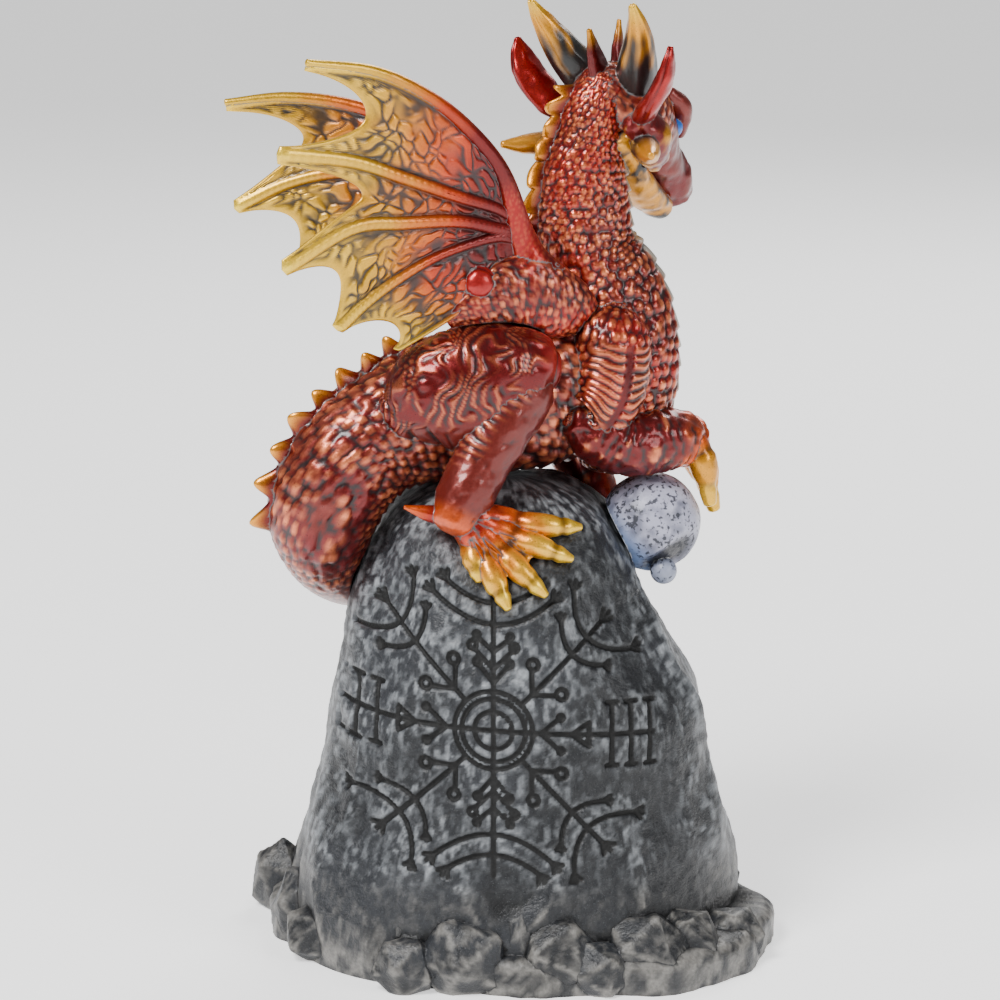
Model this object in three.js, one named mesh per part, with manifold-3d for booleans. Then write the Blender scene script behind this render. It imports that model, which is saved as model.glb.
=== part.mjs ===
// A cast resin figurine: a dragon crouching on a rock plinth, one paw on a ball.
// Millimetres. x runs right along the carved face of the rock, y away from that face, z up.
// The origin is the middle of the underside.
import * as THREE from 'three';
import { mergeVertices } from 'three/addons/utils/BufferGeometryUtils.js';
import Module from 'manifold-3d';

const wasm = await Module();
wasm.setup();

// Joint between two castings, and the grid that finished points lie on
const GAP = 0.3;
const GRID = 1 / 128;
// How far a limb's end swells past its last row, in half heights
const LIMB_CAP = 0.5;

// The dragon faces right and turns this far away from the carved face
const HEADING = THREE.MathUtils.degToRad(18);
const MIDPLANE_Y = 3;
const RIGHT = -1;
const LEFT = 1;

// Boulder: rows of [height, right, left, front, back] half sizes
const BOULDER = [
  [0, 41, 39, 37, 36], [10, 41, 39, 37, 36], [20, 39, 36.4, 35.2, 33.6], [32, 36.4, 32.2, 32.6, 30.6],
  [44, 35, 30.4, 30.2, 28.2], [54, 29.2, 28.6, 27.4, 25.6], [63, 24.4, 26.6, 24, 23],
  [71, 22, 24.4, 20, 19.8], [78, 17.5, 19.5, 15, 14.5], [82.5, 10, 11, 8.5, 8.5], [84, 3, 3, 3, 3],
];
const SQUARENESS = 0.85;
const BOULDER_SIDES = 28;
const BOULDER_RINGS = 10;
const FOLD_DEPTH = 0.035;

// Ragged foot of the plinth
const FOOT = {
  middleX: 1.5, halfWidth: 46, halfDepth: 39.4, skew: -0.23, thick: 5, bevel: 1.6, corners: 26,
  sevenWaves: 0.018, elevenWaves: 0.014,
};
// Broken stones along the front and sides: [x, y, half width, peak height, turn]
const CRAGS = [
  [-41, 9, 6.4, 13.5, 0.4], [-35, -8, 8, 14, 1.2], [-25, -24, 5.4, 12.5, 0.3], [-16, -30, 6.5, 17, 2.1],
  [-7, -35, 9.5, 14, 0.9], [2.6, -34, 6, 17, 1.7], [9, -35, 8.5, 14, 2.6], [24, -33, 9, 14, 0.6],
  [31.5, -29, 7, 13, 2.9], [40, -20, 7, 10, 1.1], [38.5, 2, 5, 13, 0.2], [-32, -19, 8, 11, 2.3],
  [16.5, -37, 6.5, 9.5, 1.9], [-17, -36, 6.5, 10, 0.7],
];
// A stone's depth, its height above and below its middle, and how far its turn tips it over
const CRAG = { depth: 0.8, half: 0.62, middle: 0.38, tip: 1.7 };
const BACK_CRAGS = {
  count: 7, from: 24, to: 158, reach: 0.84, width: 8, height: 13, turn: 1.3, uneven: 0.25,
};

// Engraved wheel of eight staves on the front face
const WHEEL = {
  x: -2, z: 44.5, groove: 0.9, clear: 9, halfLine: 0.48, lean: 0.96, droop: -0.07, hub: 6.6,
};
const BARRED = { reach: 27, bars: [20.6, 23.9, 27], halfBar: 5.6, triangle: [13.6, 16.6, 2.1], forks: [8.8] };
const UPRIGHT = { reach: 25, arcs: [[18.2, 10.4, 4.6], [21.8, 8, 3]], forks: [10] };
const SLANTED = { reach: 27.5, arcs: [[19.6, 5.6, 2.6], [23.4, 7.6, 4]], forks: [9.6] };
const FORK = { rise: 2.4, half: 2.5 };

// Ball under the right forepaw
const BALL = { along: 24.6, left: -8.5, up: 74.2, radius: 8.9, nub: 2.4, nubAt: [2.2, -4.6, -8] };

// Body parts: rows of [along, left, up, half width, half height], along the heading and left of the midplane
const NECK = [
  [18.6, 0, 152, 4.6, 4.4], [16.9, 0, 147.5, 5.6, 5.9], [15.5, 0, 142, 5.8, 6.5], [14.6, 0, 136, 6.4, 7.8],
  [14.6, 0, 129.4, 7, 8.6], [15, 0, 123, 8, 9.1], [17.4, 0, 116.8, 9.6, 10.8], [19.5, 0, 110.6, 11, 11.6],
  [20.2, 0, 104.5, 11.8, 11.9], [20.5, 0, 97.8, 11.6, 11.3], [20, 0, 90.5, 10.4, 9], [19.4, 0, 84.5, 7, 5.5],
];
const TRUNK_AND_TAIL = [
  [28, 0, 97, 4, 4], [24, 0, 97.5, 9.5, 9], [17, 0, 98.5, 11.5, 12.5], [8, 0, 98.5, 12, 14.2],
  [-1, 0, 97, 12, 14], [-9.5, 0, 95.6, 11.8, 13], [-17, 0, 94, 11.2, 12], [-24.2, 0, 90.8, 10.4, 10.8],
  [-30, 0, 85.6, 10, 10.5], [-33.2, 1.5, 78, 9.4, 9.8], [-31.6, 6, 70.6, 8, 8], [-26.6, 13, 64.6, 6.6, 6.6],
  [-19.6, 20, 61, 5.6, 5.6], [-7, 25.6, 58.5, 4.8, 4.8], [7.5, 26.4, 59, 3.8, 3.8],
  [18.6, 22.6, 62.5, 2.7, 2.7], [25, 16.4, 68, 1, 1],
];
const THIGH = [
  [-22, 8, 95.5, 4, 5], [-17, 9.6, 98.6, 7.4, 9.6], [-10.2, 11.2, 100.8, 8, 11], [-3.5, 12.2, 103, 7.4, 9.4],
  [1.4, 12.8, 104, 6, 6.8], [4.2, 13, 103.6, 3.5, 3.6],
];
const SHIN = [
  [2.2, 13, 104.3, 3, 3], [-0.7, 13.4, 101.2, 5.4, 6], [-4.7, 14.4, 95.7, 5.6, 6], [-9.2, 15.6, 88.8, 5, 5.3],
  [-13, 17, 82.6, 4.6, 5], [-15.4, 18, 78.6, 3.6, 4],
];
const LEFT_LEG = { ahead: 3, lower: 5.5 };
const HEEL_SPUR = { base: [-16, 17, 79.5], tip: [-23.7, 16, 81.5], radius: 1.8 };
const UPPER_ARM = [
  [17.6, 8, 112.5, 3, 4], [16.9, 9.6, 108.6, 5.6, 6.4], [16.4, 10.6, 102.4, 5.8, 6.5],
  [15, 11.2, 96.9, 5.4, 6.1], [12, 11.4, 93.3, 4.4, 5], [7.6, 11.4, 94.4, 1.4, 1.4],
];
const RESTING_FOREARM = [
  [9, 11.4, 93.8, 3, 3], [12.4, 11.4, 91.8, 4.8, 5.3], [17.6, 11.4, 89.4, 5, 5.5], [23.5, 11, 89, 4.6, 5.6],
  [28.6, 9.6, 89.2, 4.8, 5.4], [32.2, 7.4, 88, 4.4, 4.6],
];
const RESTING_FINGERS = [
  [[31, 9.4, 89.4], [33.4, 11, 85], [34.8, 11.4, 77.4]],
  [[32, 6.8, 88.2], [35.2, 6.6, 83.5], [37.6, 6.2, 75.2]],
  [[31.4, 4.6, 88.2], [35.4, 2.2, 84], [38.8, 0.6, 76.4]],
];
const BRACED_FOREARM = [
  [9, 11.4, 93.8, 3, 3], [12.4, 11.4, 90.6, 4.8, 5.2], [15.6, 10.8, 85.4, 4.8, 4.8],
  [18.6, 9.6, 79.6, 4.4, 4.4], [21, 8.2, 74.6, 4.2, 3.8], [23, 7.2, 71.4, 3.4, 3],
];
const BRACED_FINGERS = [
  [[21, 10, 73], [23.6, 13, 69.6], [25.4, 15.4, 64]],
  [[22.4, 8, 73], [27, 9.6, 68.6], [29.8, 10.6, 62]],
  [[22, 6, 73], [27.6, 5.4, 69.6], [31.2, 5.2, 63]],
];
const FINGER_RADII = [2.9, 2.6, 1.2];

// Webbed hind foot: the ankle and each toe tip, spread over the rock
const HIND_FOOT = {
  ankle: [-13.4, 18.2, 79.4],
  toes: [[6.6, 22, 76.8], [5, 22, 72.2], [0.2, 22, 66.8], [-6.6, 22, 64.8], [-11.8, 22, 69.2]],
  rise: 1.5, webDip: 0.3, webThick: 0.7, toeThick: 1.5, start: 0.08, heelSwell: 1.3, tipThin: 0.5,
};

// Head: its middle and the way it looks, then rows of [forward, side, up, half width, half height]
const HEAD = { x: 20.2, y: 12.5, z: 146.4, turn: 55, nod: -36 };
const SKULL = [
  [-8, 0, 0.5, 5, 4.5], [-4, 0, 0.6, 8.4, 7], [2, 0, 0.6, 9, 7], [8, 0, 0, 7.6, 6], [14, 0, -0.8, 5.6, 4.8],
  [20, 0, -1.4, 5, 4.4], [24.8, 0, -2.4, 3.4, 3.2],
];
const JAW = [[-2, 0, -6.4, 6, 3], [6, 0, -7.8, 5.4, 2.8], [14, 0, -8, 4.4, 2.8], [21.6, 0, -7, 3, 2.2]];
const BROW = [[3, 6.4, 6.2, 1.4, 1.4], [7.5, 7.2, 5.6, 2, 1.8], [12.6, 5.2, 3.2, 1, 1]];
const CHEEK = [[-4, 7.4, -3.5, 3, 3.4], [1, 8, -4.6, 3.6, 4], [6, 6.6, -5.4, 2.4, 2.8]];
const EYE = { at: [8.8, 5.8, 2.4], radius: 1.9 };
const HORN = [
  [-3.5, 4.8, 2.6, 3.4, 3.4], [-7.5, 6.2, 3.8, 3.6, 3.7], [-13, 8.6, 5.9, 2.8, 2.9],
  [-17.5, 10, 7.6, 1.8, 1.8], [-21.4, 10.6, 8.8, 0.7, 0.7],
];
const EAR = [
  [-3.6, 7.6, -3, 1.6, 2.2], [-6.8, 10.9, -2, 1.8, 3.3], [-10.2, 14.2, 1.2, 1.6, 3.4],
  [-12.8, 15.6, 3.8, 1.1, 2.1], [-14.2, 16, 5.2, 0.6, 0.8],
];
const CHEEK_SPIKE = [
  [-1, 8.4, -7, 2.4, 2.4], [-2.8, 11, -9, 2.2, 2.2], [-5.4, 13.6, -11, 1.6, 1.6],
  [-7.8, 15.6, -12.6, 0.7, 0.7],
];
// Crest spikes on the midline: [ahead, up] of the root and of the tip, and the radius
const HEAD_CREST = [[[-4, 3.5], [-9.6, 13], 2.4], [[-8, 1.5], [-16.6, 6.4], 3]];

// Frill down the back of the neck, then spikes down the tail
const NECK_FRILL = {
  count: 9, from: 0.06, to: 0.46, height: 3.2, halfLength: 2.7, halfThick: 0.9, root: 1.6,
};
const TAIL_SPIKES = {
  count: 9, from: 0.34, to: 0.57, height: 3.4, halfLength: 2.5, halfThick: 1, root: 1.6,
};
// Share of its half length by which a spike's tip leans along the back
const SPIKE_LEAN = 0.4;

// Wings: fingers from the wrist to the tip as [along, left, up], with the left wing spread further out,
// and how far each web is scalloped between its fingers
const RIGHT_WING = [
  [[-0.6, -10, 129.5], [-4.6, -12.6, 138.2], [-11.2, -15, 146],
    [-19, -17, 152.1], [-29, -19, 156.8], [-41.2, -21, 158.8]],
  [[-0.3, -9.8, 128.4], [-5, -11.2, 131.8], [-13, -14, 134.6],
    [-23.5, -17, 138.5], [-33.4, -19, 142], [-46.5, -21, 143.9]],
  [[-0.3, -9.7, 127.2], [-5, -11.2, 128.4], [-13, -14, 130.4],
    [-23.3, -16.6, 130.9], [-33.4, -18.6, 130.6], [-45.8, -20.6, 124.4]],
  [[-0.3, -9.6, 126], [-6, -11.2, 127.2], [-16.7, -14, 124.9],
    [-25.2, -16, 121], [-31.2, -17, 117.1], [-35.6, -17.6, 113.2]],
  [[0.8, -9.2, 121], [-4, -10.6, 118.4], [-9, -11.6, 115.8],
    [-14, -12.4, 113.2], [-18.6, -12.8, 110.8], [-23.4, -13, 108.4]],
];
const LEFT_WING = [
  [[-0.2, 10, 129.5], [-5.5, 15.5, 137.6], [-13, 20.4, 143.6],
    [-22, 25.4, 146.9], [-32, 29.2, 148], [-42.4, 31.6, 147.2]],
  [[-0.3, 9.8, 128.4], [-6, 14.6, 131.6], [-14, 19.6, 133.6],
    [-23, 24.6, 134.6], [-32, 28.4, 132.6], [-41.2, 31.4, 128]],
  [[-0.3, 9.7, 127.2], [-5, 13.4, 128.2], [-11.5, 17.8, 128.4],
    [-18, 21.8, 127], [-24.4, 25.2, 123.6], [-30, 27.5, 118]],
  [[-0.3, 9.6, 126], [-4, 11.8, 125.4], [-8, 13.8, 123.2],
    [-11.6, 15.6, 119.8], [-14.6, 17, 115], [-16.8, 18, 109.4]],
  [[0.8, 9.2, 121], [-2, 10, 119], [-5, 11, 116.6], [-8, 11.8, 114],
    [-11, 12.4, 111.2], [-14, 12.8, 108.4]],
];
const RIGHT_SCALLOPS = [0.21, 0.24, 0.13, 0.18];
const LEFT_SCALLOPS = [0.26, 0.12, 0.15, 0.2];
const WEB = {
  claw: 0.09, halfThick: 0.65, ridge: 0.8, tipTaper: 0.4, scallopPower: 0.6, ridgePower: 6,
  columns: [0, 0.09, 0.5, 0.91], rows: 5,
};
const WING_ARM = [
  [9.6, 7.4, 112.6, 3, 3.2], [6, 8.8, 117, 3.2, 4.4], [2, 9.6, 121.6, 2.6, 3.6], [-0.4, 10, 127, 2.1, 2.6],
  [-3.4, 11.8, 135, 1.6, 1.6], [-7, 13.6, 141.6, 1.3, 1.2],
];
const WING_PAD = [
  [14.6, 8.4, 110.2, 1.4, 1.6], [8.6, 9.4, 113.6, 2.8, 5.4], [0, 10.4, 116.4, 3, 7],
  [-8, 11.4, 115.4, 2.4, 5], [-13.6, 12, 113.4, 1, 2],
];

// Directions in the dragon's own frame, turned into the plinth's frame
const forward = new THREE.Vector3(Math.cos(HEADING), Math.sin(HEADING), 0);
const leftward = new THREE.Vector3(-Math.sin(HEADING), Math.cos(HEADING), 0);

function place(along, left, up) {
  return new THREE.Vector3(0, MIDPLANE_Y, up).addScaledVector(forward, along).addScaledVector(leftward, left);
}

// The same rows on one side of the midplane
function onSide(rows, side) {
  return rows.map(([along, out, ...rest]) => [along, side * out, ...rest]);
}

// A hind leg's rows: the left leg is set further forward and lower
function hindLeg(rows, side) {
  if (side === RIGHT) return onSide(rows, side);
  return onSide(rows, side).map(
    ([along, left, up, ...rest]) => [along + LEFT_LEG.ahead, left, up - LEFT_LEG.lower, ...rest],
  );
}

// Values between the rows of a table, on a smooth curve from 0 at the first row to 1 at the last
function curveThrough(rows) {
  const spline = new THREE.CubicInterpolant(rows.map((row, index) => index), rows.flat(), rows[0].length);
  return (t) => Array.from(spline.evaluate(THREE.MathUtils.clamp(t, 0, 1) * (rows.length - 1)));
}

// A closed geometry becomes a solid with its faces outwards
function solid(geometry) {
  geometry.deleteAttribute('normal');
  geometry.deleteAttribute('uv');
  const merged = mergeVertices(geometry, 1e-4);
  const point = merged.getAttribute('position');
  const corner = (index) => new THREE.Vector3().fromBufferAttribute(point, index);
  const faces = [];
  let volume = 0;
  for (let i = 0; i < merged.index.count; i += 3) {
    const [a, b, c] = [0, 1, 2].map((step) => merged.index.getX(i + step));
    if (a === b || b === c || c === a) continue;
    volume += corner(a).dot(corner(b).cross(corner(c)));
    faces.push([a, b, c]);
  }
  const triVerts = new Uint32Array(faces.flatMap(([a, b, c]) => (volume > 0 ? [a, b, c] : [a, c, b])));
  const vertProperties = new Float32Array(point.array);
  return new wasm.Manifold(new wasm.Mesh({ numProp: 3, vertProperties, triVerts }));
}

function joined(solids) {
  return solids.reduce((whole, next) => whole.add(next));
}

// Moves every vertex of a geometry by a rule
function reshaped(geometry, rule) {
  const point = geometry.getAttribute('position');
  for (let i = 0; i < point.count; i += 1) {
    const moved = rule(new THREE.Vector3().fromBufferAttribute(point, i));
    point.setXYZ(i, moved.x, moved.y, moved.z);
  }
  return geometry;
}

// A rounded limb through rows of [along, left, up, half width, half height], its section kept untwisted
function limb(rows, sides, rings, { grow = 0, at = place, across = leftward } = {}) {
  const row = curveThrough(rows);
  const middle = (t) => at(...row(t).slice(0, 3));
  const stations = [];
  let wide = across.clone();
  for (let ring = 0; ring < rings; ring += 1) {
    const t = ring / (rings - 1);
    const heading = middle(Math.min(1, t + 0.01)).sub(middle(Math.max(0, t - 0.01))).normalize();
    wide = wide.clone().addScaledVector(heading, -wide.dot(heading)).normalize();
    const tall = new THREE.Vector3().crossVectors(heading, wide);
    const [halfWide, halfTall] = row(t).slice(3).map((half) => half + grow);
    stations.push({ middle: middle(t), heading, wide, tall, halfWide, halfTall });
  }
  const ball = new THREE.SphereGeometry(1, sides, rings + 1);
  return solid(reshaped(ball, (p) => {
    const ring = Math.round((Math.acos(THREE.MathUtils.clamp(p.y, -1, 1)) / Math.PI) * (rings + 1));
    const turn = Math.atan2(p.z, p.x);
    const s = stations[THREE.MathUtils.clamp(ring - 1, 0, rings - 1)];
    const cap = ring === 0 ? -1 : ring === rings + 1 ? 1 : 0;
    if (cap) return s.middle.clone().addScaledVector(s.heading, cap * LIMB_CAP * s.halfTall);
    return s.middle.clone()
      .addScaledVector(s.wide, s.halfWide * Math.cos(turn))
      .addScaledVector(s.tall, s.halfTall * Math.sin(turn));
  }));
}

// A curved sheet: rule(s, t, face) gives its two faces, with face 1 or -1
function sheet(columns, rows, rule) {
  const box = new THREE.BoxGeometry(1, 1, 2, columns, rows, 1);
  return solid(reshaped(box, (p) => rule(p.x + 0.5, p.y + 0.5, p.z)));
}

function spike(base, tip, radius, sides = 6) {
  const length = base.distanceTo(tip);
  const cone = new THREE.ConeGeometry(radius, length, sides);
  cone.translate(0, length / 2, 0);
  const run = tip.clone().sub(base).normalize();
  cone.applyQuaternion(new THREE.Quaternion().setFromUnitVectors(new THREE.Vector3(0, 1, 0), run));
  cone.translate(base.x, base.y, base.z);
  return solid(cone);
}

// Half size of the boulder in one direction, with soft folds all round except on the carved front
function boulderPoint(t, angle, grow = 0) {
  const [z, right, left, front, back] = curveThrough(BOULDER)(t);
  const c = Math.cos(angle);
  const s = Math.sin(angle);
  const carved = Math.max(0, -s) ** 2;
  const fold = 1 + FOLD_DEPTH * (1 - carved) * Math.sin(5 * angle + z / 9) * Math.sin(z / 15);
  const halfX = (c > 0 ? right : left) * fold + grow;
  const halfY = (s > 0 ? back : front) * fold + grow;
  const bent = (value) => Math.sign(value) * Math.abs(value) ** SQUARENESS;
  return new THREE.Vector3(halfX * bent(c), halfY * bent(s), z + grow * Math.max(0, t - 0.5) * 2);
}

function boulder(grow = 0) {
  const ball = new THREE.SphereGeometry(1, BOULDER_SIDES, BOULDER_RINGS + 1);
  return solid(reshaped(ball, (p) => {
    const ring = Math.round((Math.acos(THREE.MathUtils.clamp(p.y, -1, 1)) / Math.PI) * (BOULDER_RINGS + 1));
    const top = BOULDER[BOULDER.length - 1][0];
    if (ring === 0) return new THREE.Vector3(0, 0, top + grow);
    if (ring === BOULDER_RINGS + 1) return new THREE.Vector3(0, 0, 0);
    return boulderPoint(1 - (ring - 1) / (BOULDER_RINGS - 1), Math.atan2(p.z, p.x), grow);
  }));
}

// Depth of the boulder's front or back surface at a place on the face
function faceY(x, z, side) {
  const rows = BOULDER.map(([height, right, left, front, back]) => ({ height, right, left, front, back }));
  const upper = Math.max(1, rows.findIndex((row) => row.height >= z));
  const [low, high] = [rows[upper - 1], rows[upper]];
  const mix = (z - low.height) / (high.height - low.height);
  const between = (key) => THREE.MathUtils.lerp(low[key], high[key], mix);
  const reach = Math.min(0.98, Math.abs(x) / between(x > 0 ? 'right' : 'left'));
  const power = 2 / SQUARENESS;
  return side * between(side < 0 ? 'front' : 'back') * (1 - reach ** power) ** (1 / power);
}

// Ragged flat foot under the boulder
function plinthFoot() {
  const outline = Array.from({ length: FOOT.corners }, (unused, i) => {
    const a = (i / FOOT.corners) * 2 * Math.PI;
    const waves = FOOT.sevenWaves * Math.sin(7 * a + 1) + FOOT.elevenWaves * Math.sin(11 * a);
    const ragged = 1 - FOOT.bevel / FOOT.halfDepth + waves;
    return new THREE.Vector2(
      FOOT.middleX + FOOT.halfWidth * ragged * Math.cos(a),
      FOOT.halfDepth * ragged * Math.sin(a) + FOOT.skew * FOOT.halfWidth * ragged * Math.cos(a),
    );
  });
  const options = { depth: FOOT.thick, bevelThickness: FOOT.bevel, bevelSize: FOOT.bevel, bevelSegments: 1 };
  return solid(new THREE.ExtrudeGeometry(new THREE.Shape(outline), options));
}

// A broken stone: a stretched and turned twenty-sided block that runs down into the foot
function crag(x, y, halfWidth, height, turn) {
  const block = new THREE.IcosahedronGeometry(1, 0);
  block.rotateX(turn * CRAG.tip);
  block.rotateZ(turn);
  block.scale(halfWidth, halfWidth * CRAG.depth, height * CRAG.half);
  block.translate(x, y, height * CRAG.middle);
  return solid(block);
}

function crags() {
  const { count, from, to, reach, width, height, turn, uneven } = BACK_CRAGS;
  const behind = Array.from({ length: count }, (unused, i) => {
    const a = THREE.MathUtils.degToRad(THREE.MathUtils.lerp(from, to, i / (count - 1)));
    const x = FOOT.halfWidth * reach * Math.cos(a);
    const y = FOOT.halfDepth * reach * Math.sin(a);
    return crag(x, y, width, height * (1 + uneven * Math.sin(5 * i)), turn * i);
  });
  return joined([...CRAGS.map((row) => crag(...row)), ...behind]);
}

// One engraved line: a strip that follows the boulder's front and dips below its surface
function groove(points) {
  const path = points.map(
    ([u, v]) => new THREE.Vector2(WHEEL.x + u, WHEEL.z + (v + WHEEL.droop * u) * WHEEL.lean),
  );
  const steps = path.length - 1;
  return sheet(steps, 1, (s, t, face) => {
    const i = Math.round(s * steps);
    const before = path[Math.max(0, i - 1)];
    const after = path[Math.min(steps, i + 1)];
    const run = after.clone().sub(before).normalize();
    const overrun = i === 0 ? -WHEEL.halfLine : i === steps ? WHEEL.halfLine : 0;
    const offset = (t - 0.5) * 2 * WHEEL.halfLine;
    const x = path[i].x + run.x * overrun - run.y * offset;
    const z = path[i].y + run.y * overrun + run.x * offset;
    return new THREE.Vector3(x, faceY(x, z, -1) + (face > 0 ? WHEEL.groove : -WHEEL.clear), z);
  });
}

// The staves: spokes with forks, arcs, bars and arrowheads, turned in steps of 45 degrees
function staveLines() {
  const lines = [];
  for (let k = 0; k < 8; k += 1) {
    const kind = k % 4 === 0 ? BARRED : k % 2 === 0 ? UPRIGHT : SLANTED;
    const a = (k * Math.PI) / 4;
    const turned = ([r, q]) => [r * Math.cos(a) - q * Math.sin(a), r * Math.sin(a) + q * Math.cos(a)];
    const add = (...points) => lines.push(points.map(turned));
    if (kind === SLANTED) add([WHEEL.hub, 0], [kind.reach, 0]);
    else if (k < 4) add([-kind.reach, 0], [kind.reach, 0]);
    for (const r of kind.forks) add([r + FORK.rise, FORK.half], [r, 0], [r + FORK.rise, -FORK.half]);
    for (const [r, half, rise] of kind.arcs ?? []) {
      add(...[-1, -0.4, 0.4, 1].map((q) => [r + rise * q * q, half * q]));
    }
    for (const r of kind.bars ?? []) add([r, -kind.halfBar], [r, kind.halfBar]);
    if (kind.triangle) {
      const [near, far, half] = kind.triangle;
      add([near, 0], [far, half], [far, -half], [near, 0]);
    }
  }
  return lines;
}

function wheelRing(radius) {
  const turns = 7;
  const half = Array.from({ length: turns + 1 }, (unused, i) => {
    const a = (i / turns) * Math.PI;
    return [radius * Math.cos(a), radius * Math.sin(a)];
  });
  return joined([groove(half), groove(half.map(([u, v]) => [-u, -v]))]);
}

function rockPlinth() {
  const room = 4 * FOOT.halfWidth;
  const above = new THREE.BoxGeometry(room, room, room);
  above.translate(0, 0, room / 2);
  const stone = joined([boulder(), plinthFoot(), crags()]).intersect(solid(above));
  const carving = joined([...staveLines().map(groove), wheelRing(WHEEL.hub)]);
  return stone.subtract(carving);
}

// Ball with a small nub low on its front
function ball(grow = 0) {
  const globe = new THREE.SphereGeometry(BALL.radius + grow, 14, 10);
  const middle = place(BALL.along, BALL.left, BALL.up);
  globe.translate(middle.x, middle.y, middle.z);
  const nub = new THREE.SphereGeometry(BALL.nub + grow, 6, 4);
  const [across, away, up] = BALL.nubAt;
  nub.translate(middle.x + across, middle.y + away, middle.z + up);
  return solid(globe).add(solid(nub));
}

function fingers(rows, side) {
  return rows.map((points) => {
    const stations = points.map((point, i) => [...point, FINGER_RADII[i], FINGER_RADII[i]]);
    return limb(onSide(stations, side), 5, 4);
  });
}

// Webbed foot spread over the rock from the ankle, thin between the toes
function hindFoot(side) {
  const spread = hindLeg([HIND_FOOT.ankle, ...HIND_FOOT.toes], side);
  const [ankle, ...flatTips] = spread.map((point) => place(...point));
  const tips = flatTips.map(({ x, z }) => new THREE.Vector3(x, faceY(x, z, side) + side * HIND_FOOT.rise, z));
  const gaps = tips.length - 1;
  const columns = gaps * 3;
  return sheet(columns, 2, (s, t, face) => {
    const gap = Math.min(gaps - 1, Math.floor(s * gaps));
    const between = s * gaps - gap;
    const web = Math.sqrt(Math.sin(Math.PI * between));
    const tip = tips[gap].clone().lerp(tips[gap + 1], between);
    const reach = THREE.MathUtils.lerp(HIND_FOOT.start, 1 - HIND_FOOT.webDip * web, t);
    const point = ankle.clone().lerp(tip, reach);
    point.y = side * Math.max(side * point.y, side * faceY(point.x, point.z, side) + HIND_FOOT.rise);
    const thick = THREE.MathUtils.lerp(HIND_FOOT.toeThick, HIND_FOOT.webThick, web);
    point.y += side * face * thick * (HIND_FOOT.heelSwell - HIND_FOOT.tipThin * t);
    return point;
  });
}

// Head frame: forward along the snout, side to its left, up over the brow
const headFrame = new THREE.Matrix4().makeRotationZ(THREE.MathUtils.degToRad(HEAD.turn))
  .multiply(new THREE.Matrix4().makeRotationY(-THREE.MathUtils.degToRad(HEAD.nod)))
  .setPosition(HEAD.x, HEAD.y, HEAD.z);
const headSide = new THREE.Vector3(0, 1, 0).transformDirection(headFrame);

function inHead(ahead, side, up) {
  return new THREE.Vector3(ahead, side, up).applyMatrix4(headFrame);
}

function headPart(rows, sides, rings) {
  return limb(rows, sides, rings, { at: inHead, across: headSide });
}

function head() {
  const parts = [headPart(SKULL, 10, 8), headPart(JAW, 7, 4)];
  for (const side of [RIGHT, LEFT]) {
    parts.push(headPart(onSide(BROW, side), 4, 3), headPart(onSide(CHEEK, side), 6, 3));
    parts.push(headPart(onSide(HORN, side), 6, 5), headPart(onSide(EAR, side), 6, 5));
    parts.push(headPart(onSide(CHEEK_SPIKE, side), 5, 4));
    const eye = new THREE.SphereGeometry(EYE.radius, 6, 4);
    const [ahead, out, up] = EYE.at;
    const seat = inHead(ahead, side * out, up);
    parts.push(solid(eye.translate(seat.x, seat.y, seat.z)));
  }
  for (const [root, tip, radius] of HEAD_CREST) {
    parts.push(spike(inHead(root[0], 0, root[1]), inHead(tip[0], 0, tip[1]), radius, 4));
  }
  return joined(parts);
}

// A row of pointed scales standing on the back edge of a limb
function backSpikes(rows, { count, from, to, height, halfLength, halfThick, root: depth }) {
  const row = curveThrough(rows);
  return Array.from({ length: count }, (unused, i) => {
    const t = THREE.MathUtils.lerp(from, to, i / (count - 1));
    const [along, left, up, , tall] = row(t);
    const ahead = row(t + 0.01);
    const run = place(ahead[0], ahead[1], ahead[2]).sub(place(along, left, up)).normalize();
    const out = new THREE.Vector3().crossVectors(leftward, run).normalize();
    const root = place(along, left, up).addScaledVector(out, tall - depth);
    const tip = root.clone().addScaledVector(out, height + depth);
    tip.addScaledVector(run, halfLength * SPIKE_LEAN);
    const cone = spike(new THREE.Vector3(), new THREE.Vector3(0, 0, root.distanceTo(tip)), 1, 4);
    const basis = new THREE.Matrix4().makeBasis(
      run.clone().multiplyScalar(halfLength),
      leftward.clone().multiplyScalar(halfThick),
      tip.clone().sub(root).normalize(),
    ).setPosition(root);
    return cone.transform(basis.elements);
  });
}

// Everything the wings are seated against, a little larger where it has to clear them
function bodyCore(grow = 0) {
  const parts = [limb(NECK, 10, 9, { grow }), limb(TRUNK_AND_TAIL, 10, 18, { grow })];
  for (const side of [RIGHT, LEFT]) {
    parts.push(limb(hindLeg(THIGH, side), 10, 7, { grow }), limb(onSide(UPPER_ARM, side), 8, 6, { grow }));
  }
  return joined(parts);
}

function dragon() {
  const parts = [bodyCore(), head()];
  for (const side of [RIGHT, LEFT]) {
    const [base, tip] = hindLeg([HEEL_SPUR.base, HEEL_SPUR.tip], side).map((point) => place(...point));
    parts.push(limb(hindLeg(SHIN, side), 8, 6), hindFoot(side), spike(base, tip, HEEL_SPUR.radius, 5));
  }
  parts.push(limb(onSide(RESTING_FOREARM, RIGHT), 8, 6), ...fingers(RESTING_FINGERS, RIGHT));
  parts.push(limb(onSide(BRACED_FOREARM, LEFT), 8, 6), ...fingers(BRACED_FINGERS, LEFT));
  parts.push(...backSpikes(NECK, NECK_FRILL), ...backSpikes(TRUNK_AND_TAIL, TAIL_SPIKES));
  return joined(parts).subtract(boulder(GAP)).subtract(ball(GAP));
}

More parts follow.
